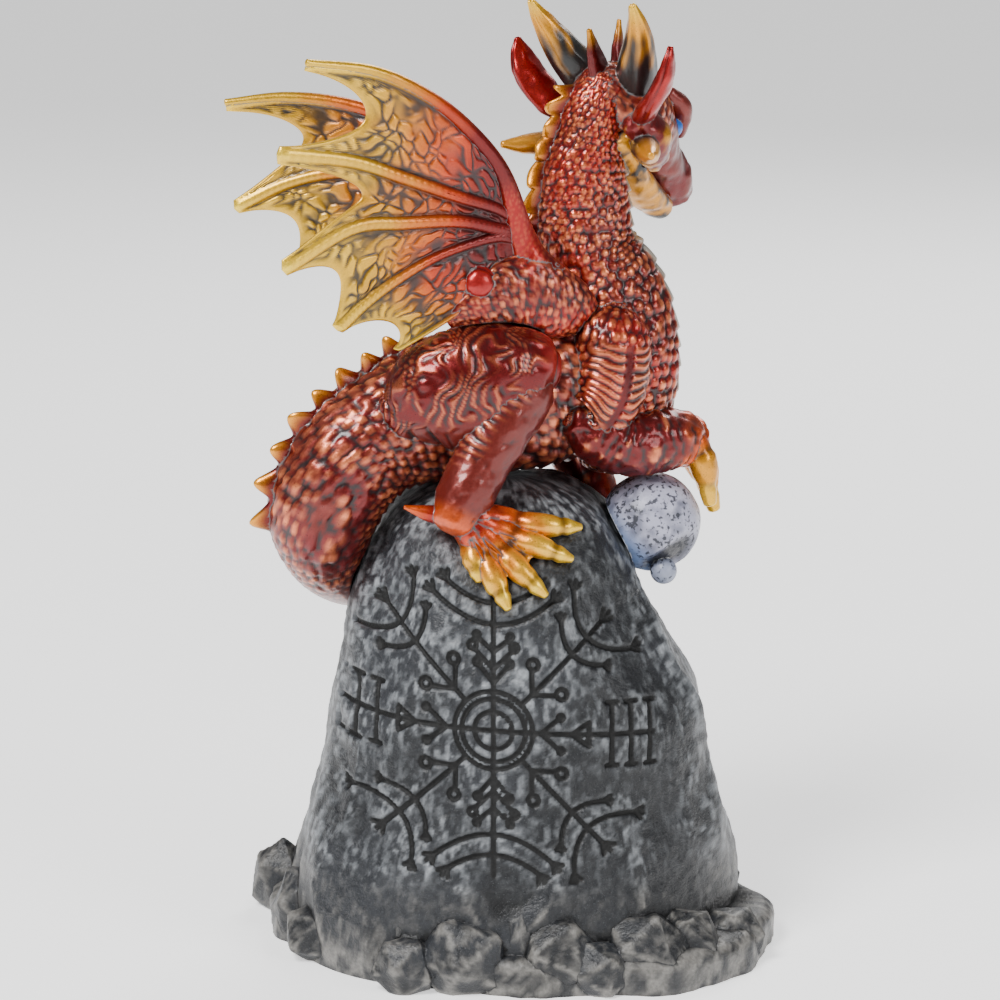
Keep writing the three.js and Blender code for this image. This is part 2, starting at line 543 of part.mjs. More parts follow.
// A wing: webs scalloped between ridged fingers, with the arm and its pad against the flank
function wing(fingerRows, scallops, side) {
  const finger = fingerRows.map((rows) => curveThrough(rows));
  const panels = finger.length - 1;
  const point = (panel, between, t) => {
    const inWeb = THREE.MathUtils.clamp((between - WEB.claw) / (1 - 2 * WEB.claw), 0, 1);
    const reach = t * (1 - scallops[panel] * Math.sin(Math.PI * inWeb) ** WEB.scallopPower);
    const [near, next] = [finger[panel](reach), finger[panel + 1](reach)];
    return place(...near.map((value, axis) => THREE.MathUtils.lerp(value, next[axis], between)));
  };
  const perPanel = WEB.columns.length;
  const web = sheet(panels * perPanel, WEB.rows, (s, t, face) => {
    const column = Math.round(s * panels * perPanel);
    const panel = Math.min(panels - 1, Math.floor(column / perPanel));
    const between = column === panels * perPanel ? 1 : WEB.columns[column % perPanel];
    const here = point(panel, between, t);
    const [before, after] = [Math.max(0, between - 0.1), Math.min(1, between + 0.1)];
    const across = point(panel, after, t).sub(point(panel, before, t));
    const [inner, outer] = [Math.max(0, t - 0.02), Math.min(1, t + 0.02)];
    const outward = point(panel, between, outer).sub(point(panel, between, inner));
    const normal = new THREE.Vector3().crossVectors(across, outward).normalize();
    const onFinger = Math.abs(Math.cos(Math.PI * between)) ** WEB.ridgePower;
    const thick = (WEB.halfThick + WEB.ridge * onFinger) * (1 - WEB.tipTaper * t);
    return here.addScaledVector(normal, face * thick);
  });
  const arm = limb(onSide(WING_ARM, side), 7, 7);
  const pad = limb(onSide(WING_PAD, side), 8, 6);
  return joined([web, arm, pad]).subtract(bodyCore(GAP));
}

function geometryOf(body) {
  const { vertProperties, triVerts } = body.getMesh();
  const geometry = new THREE.BufferGeometry();
  geometry.setAttribute('position', new THREE.BufferAttribute(vertProperties, 3));
  geometry.setIndex(new THREE.BufferAttribute(triVerts, 1));
  return geometry;
}

// A named mesh of a finished solid, its points set on a fine grid so that no edge is vanishingly short
function meshOf(name, body, material) {
  const onGrid = (value) => Math.round(value / GRID) * GRID;
  const gridded = reshaped(geometryOf(body), (p) => new THREE.Vector3(onGrid(p.x), onGrid(p.y), onGrid(p.z)));
  const geometry = geometryOf(solid(gridded));
  geometry.computeVertexNormals();
  const mesh = new THREE.Mesh(geometry, new THREE.MeshStandardMaterial(material));
  mesh.name = name;
  return mesh;
}

const stone = { color: 0x4b4d52, roughness: 0.5, metalness: 0.1 };
const crimson = { color: 0x8e2f26, roughness: 0.35, metalness: 0.4 };
const amber = { color: 0xa8722c, roughness: 0.4, metalness: 0.4 };
const pearl = { color: 0xb9bccb, roughness: 0.4, metalness: 0 };

const statue = new THREE.Group();
statue.name = 'dragon_statue';
statue.add(
  meshOf('rock_plinth', rockPlinth(), stone),
  meshOf('dragon', dragon(), crimson),
  meshOf('wing_right', wing(RIGHT_WING, RIGHT_SCALLOPS, RIGHT), amber),
  meshOf('wing_left', wing(LEFT_WING, LEFT_SCALLOPS, LEFT), amber),
  meshOf('ball', ball().subtract(boulder(GAP)), pearl),
);

export default statue;
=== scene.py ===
import math

import bpy
import numpy as np
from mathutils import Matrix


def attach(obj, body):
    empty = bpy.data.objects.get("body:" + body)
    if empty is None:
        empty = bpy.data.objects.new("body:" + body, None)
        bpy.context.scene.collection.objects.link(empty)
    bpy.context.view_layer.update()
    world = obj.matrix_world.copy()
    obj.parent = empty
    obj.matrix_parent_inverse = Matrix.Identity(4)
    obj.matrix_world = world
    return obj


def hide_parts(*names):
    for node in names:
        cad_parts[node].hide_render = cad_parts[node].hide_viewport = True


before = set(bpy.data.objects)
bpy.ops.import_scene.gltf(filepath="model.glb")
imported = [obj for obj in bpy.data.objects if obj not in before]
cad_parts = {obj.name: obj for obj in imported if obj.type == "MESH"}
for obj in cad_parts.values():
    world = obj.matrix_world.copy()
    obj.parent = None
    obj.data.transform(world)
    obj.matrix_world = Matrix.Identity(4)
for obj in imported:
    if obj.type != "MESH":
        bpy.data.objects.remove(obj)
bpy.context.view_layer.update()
mm = 0.001
turnRound = 2 * math.pi
print("frame loaded:", sorted(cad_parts))


def ease(low, high, x):
    # 0 up to low, 1 from high on, and a smooth S between them
    q = np.clip((x - low) / (high - low), 0, 1)
    return q * q * (3 - 2 * q)


def srgb(red, green, blue):
    # a screen colour from 0 to 255 turned into linear light
    c = np.array([red, green, blue]) / 255
    return np.where(c <= 0.04045, c / 12.92, ((c + 0.055) / 1.055) ** 2.4)


def blendPaint(under, over, weight):
    # the under colour where weight is 0 and the over colour where it is 1
    w = np.asarray(weight)[..., None]
    return under * (1 - w) + over * w


def rampPaint(stops, x):
    # colour between the stops of a ramp, straight lines from stop to stop in each channel
    at = [stop[0] for stop in stops]
    return np.stack([np.interp(x, at, [stop[1][k] for stop in stops]) for k in range(3)], -1)


def lattice(cells, seed):
    # a repeatable number from 0 to 1 for each whole cell, by mixing the bits of its coordinates
    h = np.full(cells.shape[:-1], seed * 1013904223, np.int64)
    for axis, prime in zip(range(cells.shape[-1]), (374761393, 668265263, 1440662683)):
        h = h + cells[..., axis] * prime
    h = h & 0xffffffff
    h = ((h ^ (h >> 13)) * 1274126177) & 0xffffffff
    h = ((h ^ (h >> 16)) * 69069) & 0xffffffff
    return ((h >> 8) & 0xffff) / 65535


def softNoise(points, size, seed):
    # smooth noise from -1 to 1: lattice values at a cell's eight corners, blended by an S curve
    p = points / size
    base = np.floor(p).astype(np.int64)
    f = p - base
    f = f * f * (3 - 2 * f)
    total = 0
    for corner in range(8):
        step = np.array([corner & 1, corner >> 1 & 1, corner >> 2 & 1])
        total = total + np.prod(np.where(step, f, 1 - f), axis=-1) * lattice(base + step, seed)
    return 2 * total - 1


def layeredNoise(points, size, seed, layers=4):
    # softNoise in layers, each half the size and half the height of the last
    return sum(softNoise(points, size / 2 ** k, seed + k) / 2 ** k for k in range(layers))


def cellField(u, v, around, seed, jitter=0.6):
    # cells one unit wide in staggered rows, wrapped after `around` of them, each middle moved about
    # by jitter: distance to the nearest middle, to the second nearest, and the nearest cell's own
    # number from 0 to 1
    near, second = np.full(u.shape, 9.0), np.full(u.shape, 9.0)
    pick = np.zeros(u.shape)
    for dv in (-1, 0, 1):
        row = np.floor(v).astype(np.int64) + dv
        shift = 0.5 * (row % 2)
        first = np.floor(u - shift).astype(np.int64)
        for du in (-1, 0, 1):
            column = first + du
            cell = np.stack([column % around, row], -1)
            atU = column + 0.5 + shift + jitter * (lattice(cell, seed) - 0.5)
            atV = row + 0.5 + jitter * (lattice(cell, seed + 1) - 0.5)
            d = np.hypot(u - atU, v - atV)
            closer = d < near
            second = np.where(closer, near, np.minimum(second, d))
            pick = np.where(closer, lattice(cell, seed + 2), pick)
            near = np.where(closer, d, near)
    return near, second, pick


def through(rows, t):
    # a smooth curve through the rows of a table: cubic pieces whose slope at a row
    # runs between its neighbours
    rows = np.asarray(rows, float)
    spans = len(rows) - 1
    ends = np.concatenate([[2 * rows[0] - rows[1]], rows, [2 * rows[-1] - rows[-2]]])
    s = np.clip(t, 0, 1) * spans
    i = np.minimum(s.astype(int), spans - 1)
    f = (s - i).reshape(s.shape + (1,) * (rows.ndim - 1))
    a, b, c, d = (ends[i + k] for k in range(4))
    return b + 0.5 * f * (c - a + f * (2 * a - 5 * b + 4 * c - d + f * (3 * (b - c) + d - a)))


def unit(v):
    # each vector at length 1
    return v / np.maximum(np.linalg.norm(v, axis=-1, keepdims=True), 1e-9)


# the dragon's own directions, turned from the plinth's
bearing = {"turn": math.radians(18), "midplaneY": 3.0}
forward = np.array([math.cos(bearing["turn"]), math.sin(bearing["turn"]), 0])
leftward = np.array([-math.sin(bearing["turn"]), math.cos(bearing["turn"]), 0])
upward = np.array([0, 0, 1.0])


def place(p):
    # along, left and up of the dragon as x, y and z of the plinth
    p = np.asarray(p, float)
    return (p[..., :1] * forward + p[..., 1:2] * leftward + p[..., 2:3] * upward
            + np.array([0, bearing["midplaneY"], 0]))


def onSide(rows, side):
    # the same rows on the right (-1) or left (1) of the midplane
    rows = np.array(rows, float)
    rows[:, 1] *= side
    return rows


def limbShell(rows, spacing, sides, lean=0.4, grow=0.0, at=place, across=leftward):
    # ellipses along a smooth path through rows of along, left, up, half width and half height;
    # each ring's width axis is the last ring's, laid square to the path; rounded caps close both ends,
    # and the sides crowd towards angle pi, which faces the carved side
    rows = np.asarray(rows, float)
    fine = np.linspace(0, 1, 500)
    track = at(through(rows[:, :3], fine))
    length = np.concatenate([[0], np.cumsum(np.linalg.norm(np.diff(track, axis=0), axis=1))])
    rings = max(8, int(length[-1] / spacing))
    t = np.interp(np.linspace(0, length[-1], rings), length, fine)
    row = through(rows, t)
    middle = at(row[:, :3])
    ahead = unit(at(through(rows[:, :3], np.minimum(1, t + 0.01))) - at(through(rows[:, :3],
                                                                                np.maximum(0, t - 0.01))))
    wide = np.empty_like(middle)
    axis = across
    for ring in range(rings):
        axis = unit(axis - ahead[ring] * (axis @ ahead[ring]))
        wide[ring] = axis
    tall = np.cross(ahead, wide)
    half = row[:, 3:5] + grow
    capAngle = np.linspace(0, math.pi / 2, max(4, int(half.max() / spacing / 2)) + 1)[1:-1]
    ring = np.concatenate([np.zeros(len(capAngle), int), np.arange(rings),
                           np.full(len(capAngle), rings - 1)])
    tilt = np.concatenate([-capAngle[::-1], np.zeros(rings), capAngle])
    offset = np.sin(tilt) * 0.5 * half[ring, 1]
    phi = np.linspace(0, turnRound, sides, endpoint=False)
    theta = phi - lean * np.sin(phi - math.pi)
    size = (half[ring] * np.cos(tilt)[:, None])[:, :, None]
    spoke = (wide[ring][:, None] * (size[:, 0] * np.cos(theta))[..., None]
             + tall[ring][:, None] * (size[:, 1] * np.sin(theta))[..., None])
    core = (middle[ring] + ahead[ring] * offset[:, None])[:, None]
    pos = core + spoke
    normal = np.cross(np.roll(pos, -1, 1) - np.roll(pos, 1, 1), np.gradient(pos, axis=0))
    normal = unit(normal * np.sign(np.sum(normal * spoke, -1, keepdims=True) + 1e-12))
    run = np.interp(t, fine, length)[ring] + offset
    shape = pos.shape[:2]
    return {"pos": pos, "normal": normal, "theta": np.broadcast_to(theta, shape) % turnRound,
            "run": np.broadcast_to(run[:, None], shape), "t": np.broadcast_to(t[ring][:, None], shape),
            "girth": np.broadcast_to((math.pi * half.sum(1))[ring][:, None], shape)}


def pebbles(shell, around, seed, jitter=0.6):
    # beads round a limb: cells as long as they are wide, so rows count up by length over cell size;
    # gives a dome from 0 to 1 on each bead, the bead's own number, and its size
    size = shell["girth"] / around
    row = np.concatenate([[0], np.cumsum(np.diff(shell["run"][:, 0]) / size[1:, 0])])
    u = shell["theta"] / turnRound * around
    near, _, pick = cellField(u, np.broadcast_to(row[:, None], u.shape), around, seed, jitter)
    return np.sqrt(np.clip(1 - (near / 0.56) ** 2, 0, 1)), pick, size


def tubeFaces(rings, sides):
    # quads between neighbouring rings and fans to a point at each end
    i, j = np.meshgrid(np.arange(rings - 1), np.arange(sides), indexing="ij")
    k = (j + 1) % sides
    quads = np.stack([i * sides + j, i * sides + k, (i + 1) * sides + k, (i + 1) * sides + j],
                     -1).reshape(-1, 4)
    j = np.arange(sides)
    k = (j + 1) % sides
    last = (rings - 1) * sides
    start, end = rings * sides, rings * sides + 1
    fans = np.concatenate([np.stack([np.full(sides, start), k, j], -1),
                           np.stack([np.full(sides, end), last + j, last + k], -1)])
    return quads, fans


def buildMesh(name, verts, quads, tris, paint, gleam, extra=None):
    # puts whole arrays into a mesh in metres, turned so that its volume is positive,
    # with its paint as attributes
    corners = np.concatenate([quads[:, [0, 1, 2]], quads[:, [0, 2, 3]], tris])
    a, b, c = verts[corners[:, 0]], verts[corners[:, 1]], verts[corners[:, 2]]
    if np.sum(a * np.cross(b, c)) < 0:
        quads, tris = quads[:, ::-1], tris[:, ::-1]
    mesh = bpy.data.meshes.new(name)
    loops = np.concatenate([quads.ravel(), tris.ravel()]).astype(np.int32)
    starts = np.concatenate([np.arange(len(quads)) * 4, len(quads) * 4 + np.arange(len(tris)) * 3])
    mesh.vertices.add(len(verts))
    mesh.vertices.foreach_set("co", (verts * mm).astype(np.float32).ravel())
    mesh.loops.add(len(loops))
    mesh.loops.foreach_set("vertex_index", loops)
    mesh.polygons.add(len(starts))
    mesh.polygons.foreach_set("loop_start", starts.astype(np.int32))
    mesh.update(calc_edges=True)
    writePaint(mesh, paint, gleam)
    for key, values in (extra or {}).items():
        mesh.attributes.new(key, "FLOAT", "POINT").data.foreach_set("value",
                                                                    values.astype(np.float32).ravel())
    piece = bpy.data.objects.new(name, mesh)
    bpy.context.scene.collection.objects.link(piece)
    return piece


def writePaint(mesh, paint, gleam):
    # colour and metal share of every vertex
    for key, kind in (("paint", "FLOAT_COLOR"), ("gleam", "FLOAT")):
        if key not in mesh.attributes:
            mesh.attributes.new(key, kind, "POINT")
    rgba = np.concatenate([paint.reshape(-1, 3), np.ones((paint.size // 3, 1))], 1).astype(np.float32)
    mesh.attributes["paint"].data.foreach_set("color", np.clip(rgba, 0, 1).ravel())
    mesh.attributes["gleam"].data.foreach_set("value", np.clip(gleam, 0, 1).astype(np.float32).ravel())


def tubePiece(name, pos, paint, gleam, extra=None):
    # a closed tube from a grid of rings: each end runs to the middle of its last ring
    rings, sides = pos.shape[:2]
    tips = lambda grid: np.concatenate([grid.reshape(rings * sides, -1),
                                        [grid[0].reshape(sides, -1).mean(0)],
                                        [grid[-1].reshape(sides, -1).mean(0)]])
    quads, fans = tubeFaces(rings, sides)
    more = {key: tips(values) for key, values in (extra or {}).items()}
    return buildMesh(name, tips(pos), quads, fans, tips(paint), tips(gleam), more)


def slabPiece(name, front, back, paint, gleam):
    # a closed sheet: two grids of the same size, one for each face, stitched round the border
    rows, columns = front.shape[:2]
    count = rows * columns
    i, j = np.meshgrid(np.arange(rows - 1), np.arange(columns - 1), indexing="ij")
    corner = i * columns + j
    face = np.stack([corner, corner + 1, corner + columns + 1, corner + columns], -1).reshape(-1, 4)
    grid = np.arange(count).reshape(rows, columns)
    border = np.concatenate([grid[0, :-1], grid[:-1, -1], grid[-1, :0:-1], grid[:0:-1, 0]])
    following = np.roll(border, -1)
    rim = np.stack([following, border, border + count, following + count], -1)
    quads = np.concatenate([face, face[:, ::-1] + count, rim])
    verts = np.concatenate([front.reshape(-1, 3), back.reshape(-1, 3)])
    return buildMesh(name, verts, quads, np.empty((0, 3), int), np.concatenate([paint, paint]),
                     np.concatenate([gleam, gleam]))


def unite(name, shells, cutters=()):
    # one closed piece from overlapping shells, less the cutters
    base = shells[0]
    for tool, operation in [(s, "UNION") for s in shells[1:]] + [(c, "DIFFERENCE") for c in cutters]:
        step = base.modifiers.new(operation, "BOOLEAN")
        step.operation = operation
        step.solver = "MANIFOLD"
        step.object = tool
    bpy.context.view_layer.update()
    mesh = bpy.data.meshes.new_from_object(base.evaluated_get(bpy.context.evaluated_depsgraph_get()))
    mesh.name = name
    mesh.validate()
    for spent in (*shells, *cutters):
        bpy.data.objects.remove(spent)
    piece = bpy.data.objects.new(name, mesh)
    bpy.context.scene.collection.objects.link(piece)
    return piece


def readValues(mesh, key, width):
    # one attribute of a mesh as an array
    values = np.empty(len(mesh.vertices) * width, np.float32)
    field = {"co": "co", "normal": "vector", "paint": "color"}.get(key, "value")
    source = {"co": mesh.vertices, "normal": mesh.vertex_normals}.get(key)
    (source if source is not None else mesh.attributes[key].data).foreach_get(field, values)
    return values.reshape(-1, width).astype(float)


def hollows(mesh, passes):
    # how far each point lies below its surroundings, in millimetres: points are averaged with their
    # neighbours along the edges for a number of passes, and the move is measured along the normal
    edges = np.empty(len(mesh.edges) * 2, np.int32)
    mesh.edges.foreach_get("vertices", edges)
    a, b = edges.reshape(-1, 2).T
    co = readValues(mesh, "co", 3) / mm
    count = len(co)
    ways = np.maximum(np.bincount(a, minlength=count) + np.bincount(b, minlength=count), 1)
    smooth = co.copy()
    for _ in range(passes):
        smooth = np.stack([(np.bincount(a, smooth[b, k], count) + np.bincount(b, smooth[a, k],
                                                                              count)) / ways
                           for k in range(3)], -1)
    return np.sum((smooth - co) * readValues(mesh, "normal", 3), -1)


def finishPiece(piece, node, finish):
    # smooth faces, its finish, and its place in the frame
    mesh = piece.data
    mesh.materials.clear()
    mesh.materials.append(finish)
    mesh.polygons.foreach_set("use_smooth", np.ones(len(mesh.polygons), bool))
    mesh.polygons.foreach_set("material_index", np.zeros(len(mesh.polygons), np.int32))
    mesh.update()
    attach(piece, "root")
    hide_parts(node)
    triangles = sum(len(p.vertices) - 2 for p in mesh.polygons)
    print(piece.name, "has", triangles, "triangles")


class Number:
    # a node's output with arithmetic: each expression adds Math nodes to the finish it belongs to
    def __init__(self, finish, socket):
        self.finish, self.socket = finish, socket

    def math(self, operation, first, second, clamp=False):
        node = self.finish.node("ShaderNodeMath", {"operation": operation, "use_clamp": clamp},
                                {0: first, 1: second})
        return Number(self.finish, node.outputs[0])

    def __add__(self, other):
        return self.math("ADD", self, other)

    def __radd__(self, other):
        return self.math("ADD", other, self)

    def __sub__(self, other):
        return self.math("SUBTRACT", self, other)

    def __rsub__(self, other):
        return self.math("SUBTRACT", other, self)

    def __mul__(self, other):
        return self.math("MULTIPLY", self, other)

    def __rmul__(self, other):
        return self.math("MULTIPLY", other, self)

    def held(self):
        # kept from 0 to 1
        return self.math("ADD", self, 0.0, True)


class Finish:
    # one paint: a Principled shader and whatever feeds it
    def __init__(self, name, fixed):
        self.material = bpy.data.materials.new(name)
        self.material.use_nodes = True
        self.tree = self.material.node_tree
        self.tree.nodes.clear()
        self.shader = self.node("ShaderNodeBsdfPrincipled", {}, fixed)
        self.node("ShaderNodeOutputMaterial", {}, {"Surface": self.shader.outputs[0]})
        self.place = self.node("ShaderNodeTexCoord").outputs["Object"]

    def node(self, kind, settings=None, sockets=None):
        made = self.tree.nodes.new(kind)
        for key, value in (settings or {}).items():
            setattr(made, key, value)
        for key, value in (sockets or {}).items():
            self.feed(made.inputs[key], value)
        return made

    def feed(self, socket, value):
        value = getattr(value, "socket", value)
        if isinstance(value, bpy.types.NodeSocket):
            self.tree.links.new(value, socket)
        else:
            socket.default_value = value

    def attribute(self, name, output):
        return self.node("ShaderNodeAttribute", {"attribute_name": name}).outputs[output]

    def noise(self, size, detail=2.0):
        # grain of about this many millimetres, 0 to 1
        made = self.node("ShaderNodeTexNoise", {},
                         {"Vector": self.place, "Scale": 1 / (size * mm), "Detail": detail})
        return Number(self, made.outputs["Fac"])

    def tint(self, colour, amount):
        # a colour made lighter or darker by a number
        return self.node("ShaderNodeVectorMath", {"operation": "SCALE"},
                         {0: colour, "Scale": amount}).outputs[0]

    def mix(self, under, over, amount):
        made = self.node("ShaderNodeMix", {"data_type": "RGBA"}, {0: amount, 6: under, 7: over})
        return made.outputs[2]

    def bump(self, height, depth):
        return self.node("ShaderNodeBump", {},
                         {"Height": height, "Distance": depth * mm, "Strength": 1.0}).outputs[0]

    def wear(self, **sockets):
        for key, value in sockets.items():
            self.feed(self.shader.inputs[key.replace("_", " ")], value)
        return self.material


# metal-flake paint over the casting: colour and metal share come from the brushwork on each vertex
flake = {"size": 0.35, "spread": 0.5, "tooth": 0.03}


def flakePaint(name, coat, rough):
    # colour times a fine grain, metal share from the brushwork, roughness lower where there is more metal
    finish = Finish(name, {"Coat Weight": coat, "Coat Roughness": 0.12, "IOR": 1.5})
    grain = finish.noise(flake["size"])
    metal = Number(finish, finish.attribute("gleam", "Fac"))
    colour = finish.tint(finish.attribute("paint", "Color"),
                         grain * flake["spread"] + (1 - flake["spread"] / 2))
    return finish.wear(Base_Color=colour, Metallic=metal * 0.8,
                       Roughness=(rough + (grain - 0.5) * 0.25 - metal * 0.12).held(),
                       Normal=finish.bump(grain, flake["tooth"]))


crimsonFinish = flakePaint("crimson flake paint", 0.35, 0.42)
wingFinish = flakePaint("amber flake paint", 0.3, 0.44)

# charcoal paint with black in the carved lines
carvedInk = {"half": 0.44, "soft": 0.14}


def stonePaint():
    # brushed colour times a grain, pale specks where a finer grain is high, black close to the carving
    finish = Finish("charcoal stone paint", {"Specular IOR Level": 0.4})
    grain, speck = finish.noise(0.6, 4.0), finish.noise(0.28, 3.0)
    colour = finish.tint(finish.attribute("paint", "Color"), grain * 1.3 + 0.35)
    colour = finish.mix(colour, (*srgb(118, 122, 126), 1), ((speck - 0.6) * 6).held() * 0.22)
    line = Number(finish, finish.attribute("stave", "Fac"))
    ink = ((carvedInk["half"] + carvedInk["soft"] / 2 - line) * (1 / carvedInk["soft"])).held()
    colour = finish.mix(colour, (*srgb(5, 5, 5), 1), ink * 0.96)
    return finish.wear(Base_Color=colour, Roughness=(0.26 + grain * 0.3 + ink * 0.2).held(),
                       Normal=finish.bump(grain + speck * 0.4, 0.16))


stoneFinish = stonePaint()


def pearlPaint():
    # brushed lilac white with dark specks where two grains are both high
    finish = Finish("pearl paint", {"Coat Weight": 0.15, "Coat Roughness": 0.25})
    speck, patch = finish.noise(0.75, 5.0), finish.noise(3.2, 2.0)
    dark = ((speck + patch * 0.5 - 0.79) * 12).held()
    colour = finish.mix(finish.attribute("paint", "Color"), (*srgb(26, 29, 38), 1), dark * 0.9)
    return finish.wear(Base_Color=colour, Roughness=(0.34 + dark * 0.3).held(),
                       Normal=finish.bump(speck, 0.2))


pearlFinish = pearlPaint()
print("finishes ready")

# rock plinth
boulder = {
    "rows": [[0, 41, 39, 37, 36], [10, 41, 39, 37, 36], [20, 39, 36.4, 35.2, 33.6],
             [32, 36.4, 32.2, 32.6, 30.6], [44, 35, 30.4, 30.2, 28.2], [54, 29.2, 28.6, 27.4, 25.6],
             [63, 24.4, 26.6, 24, 23], [71, 22, 24.4, 20, 19.8], [78, 17.5, 19.5, 15, 14.5],
             [82.5, 10, 11, 8.5, 8.5], [84, 3, 3, 3, 3]],
    "squareness": 0.85, "foldDepth": 0.035, "frontStep": 0.4, "backStep": 1.25,
    "frontHalf": math.radians(60),
    "dent": 0.6, "fold": 1.0, "pit": 0.16,
}


def boulderSurface(z, angle, grow=0.0):
    # at each height a rounded square with its own half size to the right, left, front and back,
    # softly folded all round except on the carved front
    rows = np.array(boulder["rows"], float)
    fine = np.linspace(0, 1, 800)
    t = np.interp(z, np.maximum.accumulate(through(rows[:, :1], fine)[:, 0]), fine)
    right, left, front, back = np.moveaxis(through(rows[:, 1:], t), -1, 0)
    c, s = np.cos(angle), np.sin(angle)
    carved = np.maximum(0, -s) ** 2
    fold = 1 + boulder["foldDepth"] * (1 - carved) * np.sin(5 * angle + z / 9) * np.sin(z / 15)
    bent = lambda value: np.sign(value) * np.abs(value) ** boulder["squareness"]
    x = (np.where(c > 0, right, left) * fold + grow) * bent(c)
    y = (np.where(s > 0, back, front) * fold + grow) * bent(s)
    return np.stack([x, y, z + grow * np.maximum(0, t - 0.5) * 2], -1)


def faceY(x, z, side):
    # depth of the boulder's front (-1) or back (1) at a place on its face
    rows = np.array(boulder["rows"], float)
    half = lambda column: np.interp(z, rows[:, 0], rows[:, column])
    reach = np.minimum(0.98, np.abs(x) / np.where(x > 0, half(1), half(2)))
    power = 2 / boulder["squareness"]
    return side * half(3 if side < 0 else 4) * (1 - reach ** power) ** (1 / power)


wheel = {"x": -2.0, "z": 44.5, "lean": 0.96, "droop": -0.07, "depth": 0.75, "rings": [6.8, 5.5, 3.3]}


def arcStroke(r, half, rise):
    # a bowl across a spoke: it rises with the square of the distance from the spoke
    q = np.linspace(-1, 1, 15)
    return np.stack([r + rise * q * q, half * q], -1)


def curl(r, q, radius):
    # a small round curl at the end of an arm
    a = np.linspace(0, turnRound, 9)
    return np.stack([r + radius * np.cos(a), q + radius * np.sin(a)], -1)


def prongs(r, q, way, length):
    # three short strokes fanned about a direction
    start = np.array([r, q])
    ways = [way + k * staves["fan"] for k in (-1, 0, 1)]
    return [np.stack([start, start + length * np.array([math.cos(w), math.sin(w)])]) for w in ways]


def arms(r, rise, half, radius):
    # a V open outwards with a curl at each end
    curls = [curl(r + rise + radius, side * (half + radius * 0.6), radius) for side in (-1, 1)]
    return [np.array([[r + rise, half], [r, 0], [r + rise, -half]]), *curls]


# along a spoke from the wheel's middle: bowls as place, half width and rise; arms as place, rise,
# half width and curl; prongs as place, distance from the spoke, direction and length
staves = {
    "barred": {"spoke": [3.3, 27.8], "triangle": [13.6, 16.6, 2.1], "arms": [[8.2, 3.0, 2.6, 0.5]],
               "bars": [20.6, 23.9, 27.2], "halfBar": 5.5, "serif": 0.9, "bowls": [], "prongs": []},
    "upright": {"spoke": [0, 25.6], "bowls": [[18.2, 10.4, 4.6], [21.8, 8, 3]],
                "arms": [[8.2, 2.9, 2.4, 0.6], [10.6, 3.2, 3.2, 0.7], [13.6, 2.2, 2.6, 0.5]],
                "prongs": [[22.6, 10.3, 0.75, 1.7], [24.7, 7.9, 0.6, 1.7]]},
    "slanted": {"spoke": [6.8, 27.2], "bowls": [[19.4, 5.4, 2.6], [23.2, 7.4, 4]],
                "arms": [[9.4, 2.9, 2.9, 0.95]],
                "prongs": [[26.9, 0, 0, 1.9], [21.9, 5.4, 0.8, 1.2], [27.1, 7.4, 0.5, 1.6]]},
    "fan": 0.65,
}


def barStrokes(stave):
    # an arrowhead on the spoke, then bars across it with a short stroke over each end
    near, far, half = stave["triangle"]
    made = [np.array([[near, 0], [far, half], [far, -half], [near, 0]])]
    for r in stave["bars"]:
        made.append(np.array([[r, -stave["halfBar"]], [r, stave["halfBar"]]]))
        for q in (-stave["halfBar"], stave["halfBar"]):
            made.append(np.array([[r - stave["serif"], q], [r + stave["serif"], q]]))
    return made


def staveStrokes():
    # the eight staves, each in its own spoke's frame and turned by an eighth of a circle
    strokes = []
    for k in range(8):
        stave = staves["barred" if k % 4 == 0 else "upright" if k % 2 == 0 else "slanted"]
        parts = [np.array([[r, 0] for r in stave["spoke"]])]
        parts += [arcStroke(*row) for row in stave["bowls"]]
        for row in stave["arms"]:
            parts += arms(*row)
        for r, q, way, length in stave["prongs"]:
            for side in (-1, 1):
                parts += prongs(r, side * q, side * way, length)
        if "bars" in stave:
            parts += barStrokes(stave)
        c, s = math.cos(k * math.pi / 4), math.sin(k * math.pi / 4)
        strokes += [part @ np.array([[c, s], [-s, c]]) for part in parts]
    around = np.linspace(0, turnRound, 49)
    strokes += [r * np.stack([np.cos(around), np.sin(around)], -1) for r in wheel["rings"]]
    strokes.append(np.array([[-5.5, 0], [5.5, 0]]))
    return strokes


def strokeDistance(x, z):
    # distance from each place on the face to the nearest stroke, in the wheel's own
    # slightly drooping frame
    u = x - wheel["x"]
    v = (z - wheel["z"]) / wheel["lean"] - wheel["droop"] * u
    p = np.stack([u, v], -1)
    best = np.full(u.shape, 9.0)
    for stroke in staveStrokes():
        for a, b in zip(stroke[:-1], stroke[1:]):
            run = b - a
            along = np.clip(((p - a) @ run) / (run @ run), 0, 1)
            best = np.minimum(best, np.linalg.norm(p - a - along[..., None] * run, axis=-1))
    return best


